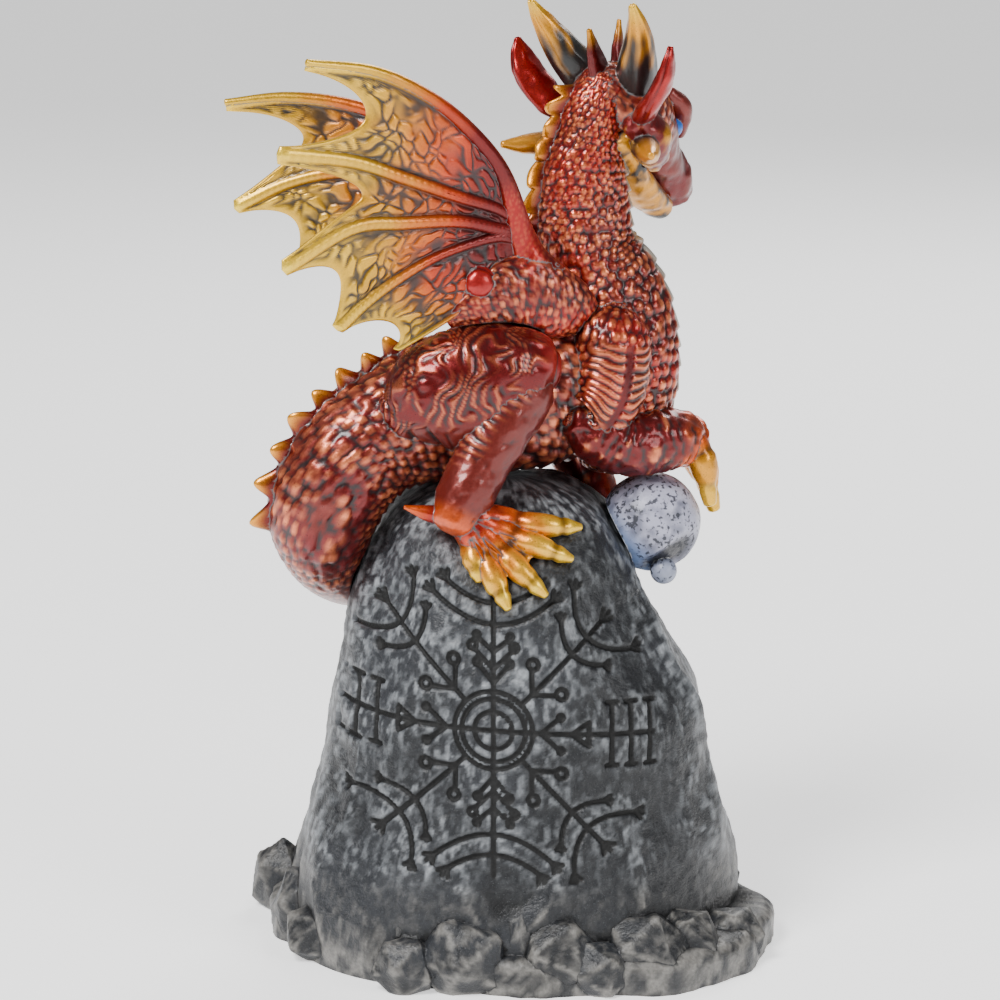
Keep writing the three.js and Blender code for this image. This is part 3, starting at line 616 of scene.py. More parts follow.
def boulderPiece():
    # heights and angles crowd on the carved front; dents, folds and pits push the surface in and out,
    # and the carving pushes it in
    edge = boulder["frontHalf"]
    front = np.linspace(-math.pi / 2 - edge, -math.pi / 2 + edge,
                        int(2 * edge * 33 / boulder["frontStep"]))
    behind = np.linspace(-math.pi / 2 + edge, math.pi * 1.5 - edge,
                         int((turnRound - 2 * edge) * 33 / boulder["backStep"]))
    angle = np.concatenate([front, behind[1:-1]])
    z = np.concatenate([np.arange(0, 10, 1.4), np.arange(10, 77, boulder["frontStep"]),
                        np.linspace(77, 83.9, 14)])
    zGrid, aGrid = np.meshgrid(z, angle, indexing="ij")
    pos = boulderSurface(zGrid, aGrid)
    normal = unit(np.cross(np.roll(pos, -1, 1) - np.roll(pos, 1, 1), np.gradient(pos, axis=0)))
    dent = layeredNoise(pos * np.array([1, 1, 0.6]), 11, 3, 2) * boulder["dent"]
    fromWheel = np.hypot(pos[..., 0] - wheel["x"], pos[..., 2] - wheel["z"]) + 60 * (pos[..., 1] > 0)
    fold = 1 - np.minimum(1, 2.4 * np.abs(layeredNoise(pos * np.array([1, 1, 0.5]), 17, 5, 2)))
    dent = dent + boulder["fold"] * (fold - 0.3) * (0.25 + 0.75 * ease(18, 32, fromWheel))
    pit = layeredNoise(pos, 1.7, 9, 2) * boulder["pit"]
    rise = (dent + pit) * ease(0, 5, zGrid)
    onFace = (np.sin(aGrid) < -0.3) & (zGrid > 12)
    stave = np.full(zGrid.shape, 9.0)
    stave[onFace] = strokeDistance(pos[onFace][:, 0], pos[onFace][:, 2])
    rise = rise - wheel["depth"] * (1 - ease(0.2, 0.62, stave))
    pos = pos + normal * rise[..., None]
    pos[..., 2] = np.maximum(pos[..., 2], 0)
    pos[0, :, 2] = 0
    blank = np.zeros(pos.shape)
    return tubePiece("boulder", pos, blank, blank[..., 0], {"stave": stave})


foot = {"middleX": 1.5, "halfWidth": 46, "halfDepth": 39.4, "skew": -0.23, "bevel": 1.6,
        "sevenWaves": 0.018, "elevenWaves": 0.014}


def footPiece():
    # a ragged oval: waves of seven and eleven round the edge, an upright rim and a bevelled top
    a = np.linspace(0, turnRound, 260, endpoint=False)
    waves = foot["sevenWaves"] * np.sin(7 * a + 1) + foot["elevenWaves"] * np.sin(11 * a)
    ragged = 1 - foot["bevel"] / foot["halfDepth"] + waves
    rim = np.array([[0, 1.6], [1.2, 1.6], [2.6, 1.55], [3.8, 1.6], [5, 1.5], [5.7, 1.0], [6.3, 0.3],
                    [6.6, -0.6], [6.6, -6]])
    grow = 1 + rim[:, 1:] / foot["halfDepth"] / ragged
    x = foot["middleX"] + foot["halfWidth"] * ragged * grow * np.cos(a)
    y = ragged * grow * (foot["halfDepth"] * np.sin(a) + foot["skew"] * foot["halfWidth"] * np.cos(a))
    pos = np.stack([x, y, np.broadcast_to(rim[:, :1], x.shape)], -1)
    chip = layeredNoise(pos * np.array([1, 1, 0.7]), 4.5, 21, 3)[..., None] * 0.5
    pos = pos + chip * np.stack([np.cos(a), np.sin(a), 0 * a], -1)
    blank = np.zeros(pos.shape)
    return tubePiece("foot", pos, blank, blank[..., 0], {"stave": np.full(x.shape, 9.0)})


crags = {
    # x, y, half width, peak height, turn
    "front": [[-41, 9, 6.4, 13.5, 0.4], [-35, -8, 8, 14, 1.2], [-25, -24, 5.4, 12.5, 0.3],
              [-16, -30, 6.5, 17, 2.1], [-7, -35, 9.5, 14, 0.9], [2.6, -34, 6, 17, 1.7],
              [9, -35, 8.5, 14, 2.6], [24, -33, 9, 14, 0.6], [31.5, -29, 7, 13, 2.9],
              [40, -20, 7, 10, 1.1], [38.5, 2, 5, 13, 0.2], [-32, -19, 8, 11, 2.3],
              [16.5, -37, 6.5, 9.5, 1.9], [-17, -36, 6.5, 10, 0.7]],
    "behind": {"count": 7, "from": 24, "to": 158, "reach": 0.84, "width": 8, "height": 13, "turn": 1.3,
               "uneven": 0.25},
    # how far a stone's turn tips it over, its depth, its height about its middle,
    # and the inner radius of a twenty-sided block
    "tip": 1.7, "deep": 0.8, "half": 0.62, "middle": 0.38, "inner": 0.7947, "wear": 200, "chip": 0.22,
}


def cragPiece(x, y, halfWidth, height, turn, sides):
    # a twenty-sided block as a distance in each direction: the inner radius over the largest lean
    # towards a face, taken as a high power sum so that the edges are worn; then turned, stretched
    # and set in the foot
    golden = (1 + math.sqrt(5)) / 2
    signs = np.array([[i, j] for i in (-1, 1) for j in (-1, 1)])
    flat = np.concatenate([np.zeros((4, 1)), signs * np.array([golden, 1 / golden])], 1)
    faces = np.concatenate([np.array([[i, j, k] for i in (-1, 1) for j in (-1, 1) for k in (-1, 1)]),
                            flat, np.roll(flat, 1, 1), np.roll(flat, 2, 1)]) / math.sqrt(3)
    polar = np.linspace(0, math.pi, sides // 2 + 1)[1:-1, None]
    azimuth = np.linspace(0, turnRound, sides, endpoint=False)[None]
    way = np.stack([np.sin(polar) * np.cos(azimuth), np.sin(polar) * np.sin(azimuth),
                    np.broadcast_to(np.cos(polar), (len(polar), sides))], -1)
    lean = np.sum(np.maximum(0, way @ faces.T) ** crags["wear"], -1) ** (1 / crags["wear"])
    c, s = math.cos(turn * crags["tip"]), math.sin(turn * crags["tip"])
    tip = np.array([[1, 0, 0], [0, c, -s], [0, s, c]])
    c, s = math.cos(turn), math.sin(turn)
    spin = np.array([[c, -s, 0], [s, c, 0], [0, 0, 1]])
    middle = np.array([x, y, height * crags["middle"]])
    pos = (way * (crags["inner"] / lean)[..., None]) @ (spin @ tip).T
    pos = pos * np.array([halfWidth, halfWidth * crags["deep"], height * crags["half"]]) + middle
    pos = pos + unit(pos - middle) * (layeredNoise(pos, 3.4, 31, 3) * crags["chip"])[..., None]
    pos[..., 2] = np.maximum(pos[..., 2], 0)
    blank = np.zeros(pos.shape)
    return tubePiece("crag", pos, blank, blank[..., 0], {"stave": np.full(pos.shape[:2], 9.0)})


def cragPieces():
    # stones along the front and sides, and a plainer row round the back
    made = [cragPiece(*row, 60) for row in crags["front"]]
    b = crags["behind"]
    for i, a in enumerate(np.radians(np.linspace(b["from"], b["to"], b["count"]))):
        size = 1 + b["uneven"] * math.sin(5 * i)
        x = foot["halfWidth"] * b["reach"] * math.cos(a)
        y = foot["halfDepth"] * b["reach"] * math.sin(a)
        made.append(cragPiece(x, y, b["width"], b["height"] * size, b["turn"] * i, 40))
    return made


stoneColours = {"coal": srgb(15, 16, 18), "slate": srgb(40, 42, 46), "chalk": srgb(136, 140, 144),
                "sand": srgb(128, 122, 112), "pit": srgb(5, 5, 6)}


def brushStone(piece):
    # charcoal, lighter in broad patches; chalk scraped over what stands up and along edges, more on what
    # faces up as painted light from above, sandy low down; black paint and painted shade in what lies
    # deep
    mesh = piece.data
    co = readValues(mesh, "co", 3) / mm
    normal = readValues(mesh, "normal", 3)
    fine, broad = hollows(mesh, 4), hollows(mesh, 40)
    low = 1 - ease(14, 20, co[:, 2])
    patch = ease(-0.3, 0.6, layeredNoise(co, 18, 41, 3))
    scrape = layeredNoise(co * np.array([1, 1, 0.5]), 0.9, 47, 3)
    raised = ease(0.02, 0.4, -broad)
    edge = ease(0.03, 0.22, -fine) * (0.25 + 0.75 * low)
    # chalk dry-brush over what stands up, weighted by the upward normal as painted light from above
    dryBrushAndToplight = ((0.1 + 0.3 * patch + 0.6 * raised) * ease(-0.25, 0.75, scrape)
           * ease(-0.6, 0.6, normal[:, 2] + 0.2))
    paint = blendPaint(stoneColours["coal"], stoneColours["slate"], 0.3 + 0.7 * patch)
    chalk = blendPaint(stoneColours["chalk"], stoneColours["sand"], 0.7 * low)
    paint = blendPaint(paint, chalk, np.clip(dryBrushAndToplight, 0, 1) * (1 - 0.6 * low))
    paint = blendPaint(paint, chalk, 0.75 * edge * ease(-0.5, 0.5, layeredNoise(co, 1.6, 59, 3)))
    # black paint and painted shade in the deep hollows, such as where the crags meet the boulder
    paint = blendPaint(paint, stoneColours["pit"], 0.92 * ease(0.06, 0.45, broad))
    writePaint(mesh, paint, np.zeros(len(co)))


rock = unite("rockPlinth", [boulderPiece(), footPiece(), *cragPieces()])
brushStone(rock)
finishPiece(rock, "rock_plinth", stoneFinish)
print("rock plinth carved and brushed")

# ball under the right paw
ball = {"at": [24.6, -8.5, 74.2], "radius": 8.9, "nub": 2.4, "nubOffset": [2.2, -4.6, -8.01],
        "hollow": [0.42, -0.66, -0.62], "hollowDepth": 1.1}


def boulderCutter(grow):
    # a plain copy of the boulder, a little larger
    z, angle = np.meshgrid(np.linspace(0, 83.9, 60), np.linspace(0, turnRound, 120, endpoint=False),
                           indexing="ij")
    pos = boulderSurface(z, angle, grow)
    blank = np.zeros(pos.shape)
    return tubePiece("boulder cutter", pos, blank, blank[..., 0])


def globe(name, middle, radius, sides, dip=None, paint=None):
    # a sphere as a tube of rings from pole to pole, with an optional dip by direction
    polar = np.linspace(0, math.pi, sides // 2 + 1)[1:-1, None]
    azimuth = np.linspace(0, turnRound, sides, endpoint=False)[None]
    way = np.stack([np.sin(polar) * np.cos(azimuth), np.sin(polar) * np.sin(azimuth),
                    np.broadcast_to(np.cos(polar), (len(polar), sides))], -1)
    reach = radius if dip is None else radius - dip(way)
    pos = np.asarray(middle) + way * np.broadcast_to(reach, way.shape[:2])[..., None]
    colour = np.zeros(pos.shape) if paint is None else paint(way)
    return tubePiece(name, pos, colour, np.zeros(pos.shape[:2]))


def ballPiece():
    # a slightly uneven globe with a dark hollow low on its right, and a nub under it
    middle = place(np.array(ball["at"]))
    deep = unit(np.array(ball["hollow"]))
    # the hollow is long and narrow: near the deep direction, stretched along the globe's rim
    sideways = unit(np.cross(deep, np.array([0, -1.0, 0])))
    def inHollow(way):
        along, off = way @ sideways, np.arccos(np.clip(way @ deep, -1, 1))
        return 1 - ease(0.2, 0.5, np.sqrt(np.maximum(0, off ** 2 - 0.72 * along ** 2)))
    dip = lambda way: ball["hollowDepth"] * inHollow(way) + 0.1 * softNoise(way * 9, 2.2, 61)
    def paint(way):
        # bluer and darker towards the lower left: blue paint laid by direction, as painted shade on that
        # side
        pale = blendPaint(srgb(172, 172, 192), srgb(112, 134, 176),
                          ease(0.1, 0.9, -way[..., 0] - way[..., 2]))
        grey = blendPaint(pale, srgb(74, 78, 96), 0.7 * ease(-0.1, 0.7, layeredNoise(way * 9, 3, 67, 3)))
        return blendPaint(grey, srgb(10, 10, 12), 0.95 * inHollow(way))
    nub = middle + np.array(ball["nubOffset"])
    pale = lambda way: np.broadcast_to(srgb(140, 146, 166), way.shape).copy()
    return unite("pearlBall", [globe("globe", middle, ball["radius"], 140, dip, paint),
                               globe("nub", nub, ball["nub"], 32, None, pale)], [boulderCutter(0.3)])


pearl = ballPiece()
finishPiece(pearl, "ball", pearlFinish)
print("ball seated")

# dragon
hide = {"crimson": srgb(100, 9, 10), "ember": srgb(146, 15, 12), "brick": srgb(104, 28, 20),
        # copper: dry-brushed colour that also serves as painted highlight on crowns and crests
        "copperRubAndHighlight": srgb(240, 136, 84),
        # soot: the dark wash colour, also laid as painted shade in creases and hollows
        "darkWashAndShade": srgb(15, 9, 11), "iron": srgb(40, 43, 48), "gold": srgb(206, 138, 12),
        "lemon": srgb(236, 188, 40),
        "orange": srgb(204, 78, 6), "charcoal": srgb(24, 23, 22), "scute": srgb(150, 140, 126),
        "eye": srgb(6, 96, 190)}
limbs = {
    # along, left, up, half width, half height
    "neck": [[18.6, 0, 152, 4.6, 4.4], [16.9, 0, 147.5, 5.6, 5.9], [15.5, 0, 142, 5.8, 6.5],
             [14.6, 0, 136, 6.4, 7.8],
             [14.6, 0, 129.4, 7, 8.6], [15, 0, 123, 8, 9.1], [17.4, 0, 116.8, 9.6, 10.8],
             [19.5, 0, 110.6, 11, 11.6],
             [20.2, 0, 104.5, 11.8, 11.9], [20.5, 0, 97.8, 11.6, 11.3], [20, 0, 90.5, 10.4, 9],
             [19.4, 0, 84.5, 7, 5.5]],
    "trunk": [[28, 0, 97, 4, 4], [24, 0, 97.5, 9.5, 9], [17, 0, 98.5, 11.5, 12.5], [8, 0, 98.5, 12, 14.2],
              [-1, 0, 97, 12, 14], [-9.5, 0, 95.6, 11.8, 13], [-17, 0, 94, 11.2, 12],
              [-24.2, 0, 90.8, 10.4, 10.8],
              [-30, 0, 85.6, 10, 10.5], [-33.2, 1.5, 78, 9.4, 9.8], [-31.6, 6, 70.6, 8, 8],
              [-26.6, 13, 64.6, 6.6, 6.6],
              [-19.6, 20, 61, 5.6, 5.6], [-7, 25.6, 58.5, 4.8, 4.8], [7.5, 26.4, 59, 3.8, 3.8],
              [18.6, 22.6, 62.5, 2.7, 2.7], [25, 16.4, 68, 1, 1]],
    "thigh": [[-22, 8, 95.5, 4, 5], [-17, 9.6, 98.6, 7.4, 9.6], [-10.2, 11.2, 100.8, 8, 11],
              [-3.5, 12.2, 103, 7.4, 9.4],
              [1.4, 12.8, 104, 6, 6.8], [4.2, 13, 103.6, 3.5, 3.6]],
    "shin": [[2.2, 13, 104.3, 3, 3], [-0.7, 13.4, 101.2, 5.4, 6], [-4.7, 14.4, 95.7, 5.6, 6],
             [-9.2, 15.6, 88.8, 5, 5.3],
             [-13, 17, 82.6, 4.6, 5], [-15.4, 18, 78.6, 3.6, 4]],
    "spur": [[-14, 17.2, 79, 1.9, 1.9], [-19, 16.6, 80.2, 1.5, 1.5], [-23.4, 16, 81.5, 0.4, 0.4]],
    "upperArm": [[17.6, 8, 112.5, 3, 4], [16.9, 9.6, 108.6, 5.6, 6.4], [16.4, 10.6, 102.4, 5.8, 6.5],
                 [15, 11.2, 96.9, 5.4, 6.1], [12, 11.4, 93.3, 4.4, 5], [7.6, 11.4, 94.4, 1.4, 1.4]],
    "restingForearm": [[9, 11.4, 93.8, 3, 3], [12.4, 11.4, 91.8, 4.8, 5.3], [17.6, 11.4, 89.4, 5, 5.5],
                       [23.5, 11, 89, 4.6, 5.6], [28.6, 9.6, 89.2, 4.8, 5.4], [32.2, 7.4, 88, 4.4, 4.6]],
    "bracedForearm": [[9, 11.4, 93.8, 3, 3], [12.4, 11.4, 90.6, 4.8, 5.2], [15.6, 10.8, 85.4, 4.8, 4.8],
                      [18.6, 9.6, 79.6, 4.4, 4.4], [21, 8.2, 74.6, 4.2, 3.8], [23, 7.2, 71.4, 3.4, 3]],
}
fingersOf = {
    "resting": [[[31, 9.4, 89.4], [33.4, 11, 85], [34.8, 11.4, 77.4]],
                [[32, 6.8, 88.2], [35.2, 6.6, 83.5], [37.6, 6.2, 75.2]],
                [[31.4, 4.6, 88.2], [35.4, 2.2, 84], [38.8, 0.6, 76.4]]],
    "braced": [[[21, 10, 73], [23.6, 13, 69.6], [25.4, 15.4, 64]],
               [[22.4, 8, 73], [27, 9.6, 68.6], [29.8, 10.6, 62]],
               [[22, 6, 73], [27.6, 5.4, 69.6], [31.2, 5.2, 63]]],
    "radii": [2.9, 2.6, 1.2],
}
leftLeg = {"ahead": 3.0, "lower": 5.5}


def hindLeg(rows, side):
    # a hind leg's rows: the left leg is set further forward and lower
    rows = onSide(rows, side)
    if side > 0:
        rows[:, 0] += leftLeg["ahead"]
        rows[:, 2] -= leftLeg["lower"]
    return rows


def brushed(name, shell, rise, paint, gleam):
    # a limb's shell with its relief raised along the normals and its brushwork
    pos = shell["pos"] + shell["normal"] * rise[..., None]
    return tubePiece(name, pos, paint, np.broadcast_to(gleam, rise.shape).copy())


def beadPaint(dome, pick, base):
    # a bead's crown is dragged with copper, dry-brush and painted highlight together, more on some beads
    # than on others
    return blendPaint(base, hide["copperRubAndHighlight"], ease(0.62, 1.0, dome) * (0.1 + 0.7 * pick ** 1.5))


def neckPiece():
    # beads all round in ever larger rows; down the front, plates that overlap like roof tiles
    shell = limbShell(limbs["neck"], 0.35, 126, 0.44)
    dome, pick, size = pebbles(shell, 36, 101, 0.62)
    fine, _, fineSize = pebbles(shell, 54, 107, 0.6)
    plain = ease(0.2, 0.7, softNoise(shell["pos"], 9, 113))
    chest = 1 - ease(0.4, 0.56, np.abs(shell["theta"] - math.pi / 2 - 0.05))
    tile = (shell["run"] / 3.3) % 1
    beads = np.maximum(dome * size * 0.34, plain * fine * fineSize * 0.3)
    rise = (1 - chest) * (beads - 0.25) + chest * (0.7 * tile - 0.2)
    base = blendPaint(hide["crimson"], hide["ember"], ease(-0.3, 0.6, softNoise(shell["pos"], 6, 127)))
    paint = beadPaint(dome, pick, base)
    scute = blendPaint(hide["scute"], hide["iron"], 0.85 * (1 - ease(0.05, 0.22, tile)))
    paint = blendPaint(paint, scute, chest)
    return brushed("neck", shell, rise, paint, 0.9 - 0.75 * chest)


def trunkPiece():
    # beads along the back and flanks, larger ones along the middle of the tail's side, shallower
    # towards its low end; under it plates that overlap
    shell = limbShell(limbs["trunk"], 0.6, 98, 0.4)
    dome, pick, size = pebbles(shell, 34, 131, 0.5)
    large, _, largeSize = pebbles(shell, 19, 137, 0.55)
    t, theta = shell["t"], shell["theta"]
    side = (np.exp(-((theta - math.pi * 0.98) / 0.4) ** 2) * ease(0.48, 0.53, t)
            * (1 - ease(0.58, 0.63, t)))
    fade = 1 - 0.85 * ease(0.6, 0.68, t)
    under = 1 - ease(0.45, 0.65, np.abs(theta - math.pi / 2))
    tile = (shell["run"] / 3.6) % 1
    rise = (dome * size * 0.3 * (1 - side) + large * largeSize * 0.3 * side - 0.25) * fade * (1 - under)
    rise = rise + under * (0.6 * tile - 0.2)
    base = blendPaint(hide["crimson"], hide["brick"], ease(-0.2, 0.6, softNoise(shell["pos"], 8, 139)))
    paint = beadPaint(np.maximum(dome * (1 - side), large * side), pick, base)
    paint = blendPaint(paint, hide["brick"] * 0.85, 0.6 * (1 - fade))
    paint = blendPaint(paint, hide["brick"] * 0.7, under * 0.7)
    return brushed("trunk", shell, rise, paint, 0.8)


def thighPiece(side):
    # short wrinkles like a fingerprint over the top, a smooth flank, and upright folds at the rear
    near = side < 0
    shell = limbShell(hindLeg(limbs["thigh"], side), 0.36 if near else 1.0, 124 if near else 48,
                      0.4 if near else 0)
    theta, t, pos = shell["theta"], shell["t"], shell["pos"]
    top = ease(-0.8, -0.1, np.sin(theta) + 0.4 * softNoise(pos, 7, 149)) * (1 - ease(0.78, 0.95, t))
    warp = layeredNoise(pos, 5, 151, 2)
    wrinkle = np.sin((shell["run"] * 0.75 + theta * 5.0 + warp * 3.2) * turnRound / 1.7)
    broken = ease(-0.75, 0.0, softNoise(pos, 2.2, 157))
    fold = np.sin(shell["run"] * turnRound / 3.1 + 1.5 * warp) * (1 - ease(0.16, 0.34, t)) * (1 - top)
    rise = (0.2 * top * wrinkle * broken - 0.5 * np.maximum(0, fold) ** 2
            + 0.1 * layeredNoise(pos, 2.6, 163, 2))
    base = blendPaint(hide["brick"], hide["crimson"], np.clip(top + ease(0.6, 0.9, t), 0, 1))
    # copper dry-brush and painted highlight on the wrinkle crests over the top
    paint = blendPaint(base, hide["copperRubAndHighlight"], 0.3 * top * broken * ease(0.3, 1.0, wrinkle))
    # dark wash and painted shade in the rear folds
    paint = blendPaint(paint, hide["darkWashAndShade"], 0.6 * np.maximum(0, fold) ** 2)
    knee = ease(0.72, 0.9, t) * ease(-0.2, 0.4, np.sin(theta))
    paint = blendPaint(paint, hide["ember"] * 1.15, 0.7 * knee)
    return brushed("thigh", shell, rise, paint, 0.6 + 0.3 * top)


def shinPiece(side):
    # arc wrinkles down the calf, a smooth front, reddest at the ankle
    near = side < 0
    shell = limbShell(hindLeg(limbs["shin"], side), 0.42 if near else 1.0, 76 if near else 40,
                      0.4 if near else 0)
    theta, pos = shell["theta"], shell["pos"]
    calf = (ease(0.1, 0.9, -np.sin(theta) + 0.45 * softNoise(pos, 4, 167))
            * (1 - ease(0.5, 0.75, shell["t"])))
    bent = shell["run"] + 1.6 * np.cos(theta) + 0.7 * softNoise(pos, 3, 173)
    wrinkle = np.sin(bent * turnRound / 1.8)
    rise = 0.2 * calf * wrinkle + 0.2 * layeredNoise(pos, 2.2, 179, 3)
    paint = blendPaint(hide["brick"], hide["crimson"], calf)
    # copper dry-brush and painted highlight on the calf's wrinkle crests
    paint = blendPaint(paint, hide["copperRubAndHighlight"], 0.5 * calf * ease(0.3, 1, wrinkle))
    paint = blendPaint(paint, hide["orange"], 0.75 * ease(0.86, 1.0, shell["t"]))
    return brushed("shin", shell, rise, paint, 0.6)


def upperArmPiece(side):
    # rows of ridges across the arm in two columns, beads elsewhere
    near = side < 0
    shell = limbShell(onSide(limbs["upperArm"], side), 0.33 if near else 1.0, 96 if near else 40,
                      0.45 if near else 0)
    theta, pos = shell["theta"], shell["pos"]
    dome, pick, size = pebbles(shell, 22, 181, 0.6)
    column = np.abs(np.sin((theta - math.pi + 0.15) * 2.2))
    face = ((1 - ease(0.85, 1.15, np.abs(theta - math.pi))) * ease(0.22, 0.32, shell["t"])
            * (1 - ease(0.72, 0.82, shell["t"])))
    bent = shell["run"] + 0.6 * np.cos(theta * 3) + 0.8 * layeredNoise(pos, 4, 191, 2)
    ridge = np.abs(np.sin(bent * math.pi / 1.45))
    ridge = ridge * ease(0.12, 0.4, column)
    rise = face * (0.42 * ridge - 0.18) + (1 - face) * (dome * size * 0.28 - 0.15)
    base = blendPaint(hide["crimson"], hide["ember"], ease(-0.2, 0.6, softNoise(pos, 5, 193)))
    # copper dry-brush and painted highlight on the ridge crests
    paint = blendPaint(beadPaint(dome, pick, base),
                       blendPaint(base, hide["copperRubAndHighlight"], 0.55 * ease(0.55, 1, ridge)), face)
    # dark wash and painted shade between the ridges
    paint = blendPaint(paint, hide["darkWashAndShade"], 0.45 * face * (1 - ease(0.1, 0.5, ridge)))
    return brushed("upper arm", shell, rise, paint, 0.9)


def forearmPiece(rows, side):
    # soft wrinkles and flecks of copper, dry-brush and painted highlight on the lumps, running to orange
    # at the wrist
    near = side < 0
    shell = limbShell(onSide(rows, side), 0.42 if near else 1.0, 76 if near else 40, 0.4 if near else 0)
    pos = shell["pos"]
    wrinkle = np.sin((shell["run"] + 1.4 * layeredNoise(pos, 4, 197, 2)) * turnRound / 2.2)
    lump = layeredNoise(pos, 2.2, 199, 3)
    rise = 0.14 * wrinkle + 0.28 * lump
    paint = blendPaint(hide["crimson"], hide["brick"], ease(-0.2, 0.5, softNoise(pos, 5, 211)))
    paint = blendPaint(paint, hide["copperRubAndHighlight"], 0.6 * ease(0.25, 0.8, lump) * ease(0.2, 1, wrinkle))
    paint = blendPaint(paint, hide["orange"], 0.8 * ease(0.72, 0.92, shell["t"] + 0.08 * lump))
    return brushed("forearm", shell, rise, paint, 0.85)


def fingerPiece(points, side):
    # three joints with swollen knuckles, orange to gold, dark wash and painted shade between, and a
    # smooth claw
    near = side < 0
    rows = np.array([[*point, r, r] for point, r in zip(points, fingersOf["radii"])])
    shell = limbShell(onSide(rows, side), 0.42 if near else 0.8, 36 if near else 20, 0.3 if near else 0)
    t = shell["t"]
    knuckle = np.abs(np.sin(t * math.pi * 2.4 + 0.3))
    claw = ease(0.74, 0.8, t)
    joint = 0.42 * knuckle - 0.3 + 0.12 * layeredNoise(shell["pos"], 1.6, 223, 2)
    rise = joint * (1 - claw) - 0.25 * claw * (1 - ease(0.8, 0.88, t))
    paint = blendPaint(hide["orange"], hide["gold"], ease(0.2, 0.5, t))
    # dark wash and painted shade in the dips between knuckles
    paint = blendPaint(paint, hide["darkWashAndShade"], 0.55 * (1 - ease(0.15, 0.5, knuckle)) * (1 - claw))
    paint = blendPaint(paint, hide["lemon"], 0.6 * claw)
    return brushed("finger", shell, rise, paint, 0.85)


def spurPiece(side):
    # a short spur behind the heel, red to orange
    shell = limbShell(hindLeg(limbs["spur"], side), 0.4, 32, 0)
    rise = 0.1 * layeredNoise(shell["pos"], 1.8, 227, 2)
    paint = blendPaint(hide["ember"], hide["orange"], ease(0.4, 0.9, shell["t"]))
    return brushed("spur", shell, rise, paint, 0.85)


webbedFoot = {"ankle": [-13.4, 18.2, 79.4], "rise": 1.5, "webDip": 0.3, "webThick": 0.7, "toeThick": 1.5,
              "start": 0.08, "heelSwell": 1.3, "tipThin": 0.5,
              "toes": [[6.6, 22, 76.8], [5, 22, 72.2], [0.2, 22, 66.8], [-6.6, 22, 64.8],
                       [-11.8, 22, 69.2]],
              "reach": [0.1, 0.35, 0.6, 0.82, 1.0], "radii": [2.6, 2.3, 2.1, 1.9, 0.7]}


def footPieceOf(side):
    # a web from the ankle to five toes laid over the rock: between two toes the reach dips
    # and the sheet thins
    ankle, *tips = [place(p) for p in hindLeg([webbedFoot["ankle"], *webbedFoot["toes"]], side)]
    tips = np.array(tips)
    tips[:, 1] = faceY(tips[:, 0], tips[:, 2], side) + side * webbedFoot["rise"]
    gaps = len(tips) - 1
    columns, rows = (113, 44) if side < 0 else (49, 20)
    t, s = np.meshgrid(np.linspace(0, 1, rows), np.linspace(0, gaps, columns), indexing="ij")
    gap = np.minimum(s.astype(int), gaps - 1)
    between = s - gap
    web = np.sqrt(np.sin(math.pi * between))
    tip = tips[gap] * (1 - between[..., None]) + tips[gap + 1] * between[..., None]
    reach = webbedFoot["start"] + (1 - webbedFoot["webDip"] * web - webbedFoot["start"]) * t
    pos = ankle * (1 - reach[..., None]) + tip * reach[..., None]
    onRock = side * faceY(pos[..., 0], pos[..., 2], side) + webbedFoot["rise"]
    pos[..., 1] = side * np.maximum(side * pos[..., 1], onRock)
    toe = (1 - web) ** 0.55
    knuckle = 0.2 * np.sin(t * 17 + gap) * toe
    lump = layeredNoise(pos, 2.1, 229, 3)
    thick = webbedFoot["webThick"] + (webbedFoot["toeThick"] - webbedFoot["webThick"]) * toe
    thick = thick * (webbedFoot["heelSwell"] - webbedFoot["tipThin"] * t)
    edge = (np.sqrt(np.clip(1 - ease(0.9, 1.02, t) ** 2, 0.08, 1))
            * np.sqrt(np.clip(np.minimum(s, gaps - s) * 9, 0.12, 1)))
    thick = (thick + knuckle + 0.16 * lump) * edge
    front, back = pos.copy(), pos.copy()
    front[..., 1] += thick
    back[..., 1] -= thick
    paint = rampPaint([(0, hide["crimson"]), (0.18, hide["orange"]), (0.5, srgb(206, 112, 8)),
                       (0.8, hide["gold"]), (1, hide["lemon"])],
                      reach + 0.06 * lump)
    pit = (ease(-0.35, 0.15, layeredNoise(pos, 2.2, 233, 2)) * ease(0.35, 0.75, web) * ease(0.25, 0.45, t)
           * (1 - ease(0.9, 0.98, t)))
    paint = blendPaint(paint, srgb(18, 17, 15), 0.9 * pit)
    return slabPiece("webbed foot", front, back, paint, np.where(pit > 0.5, 0.4, 0.9))


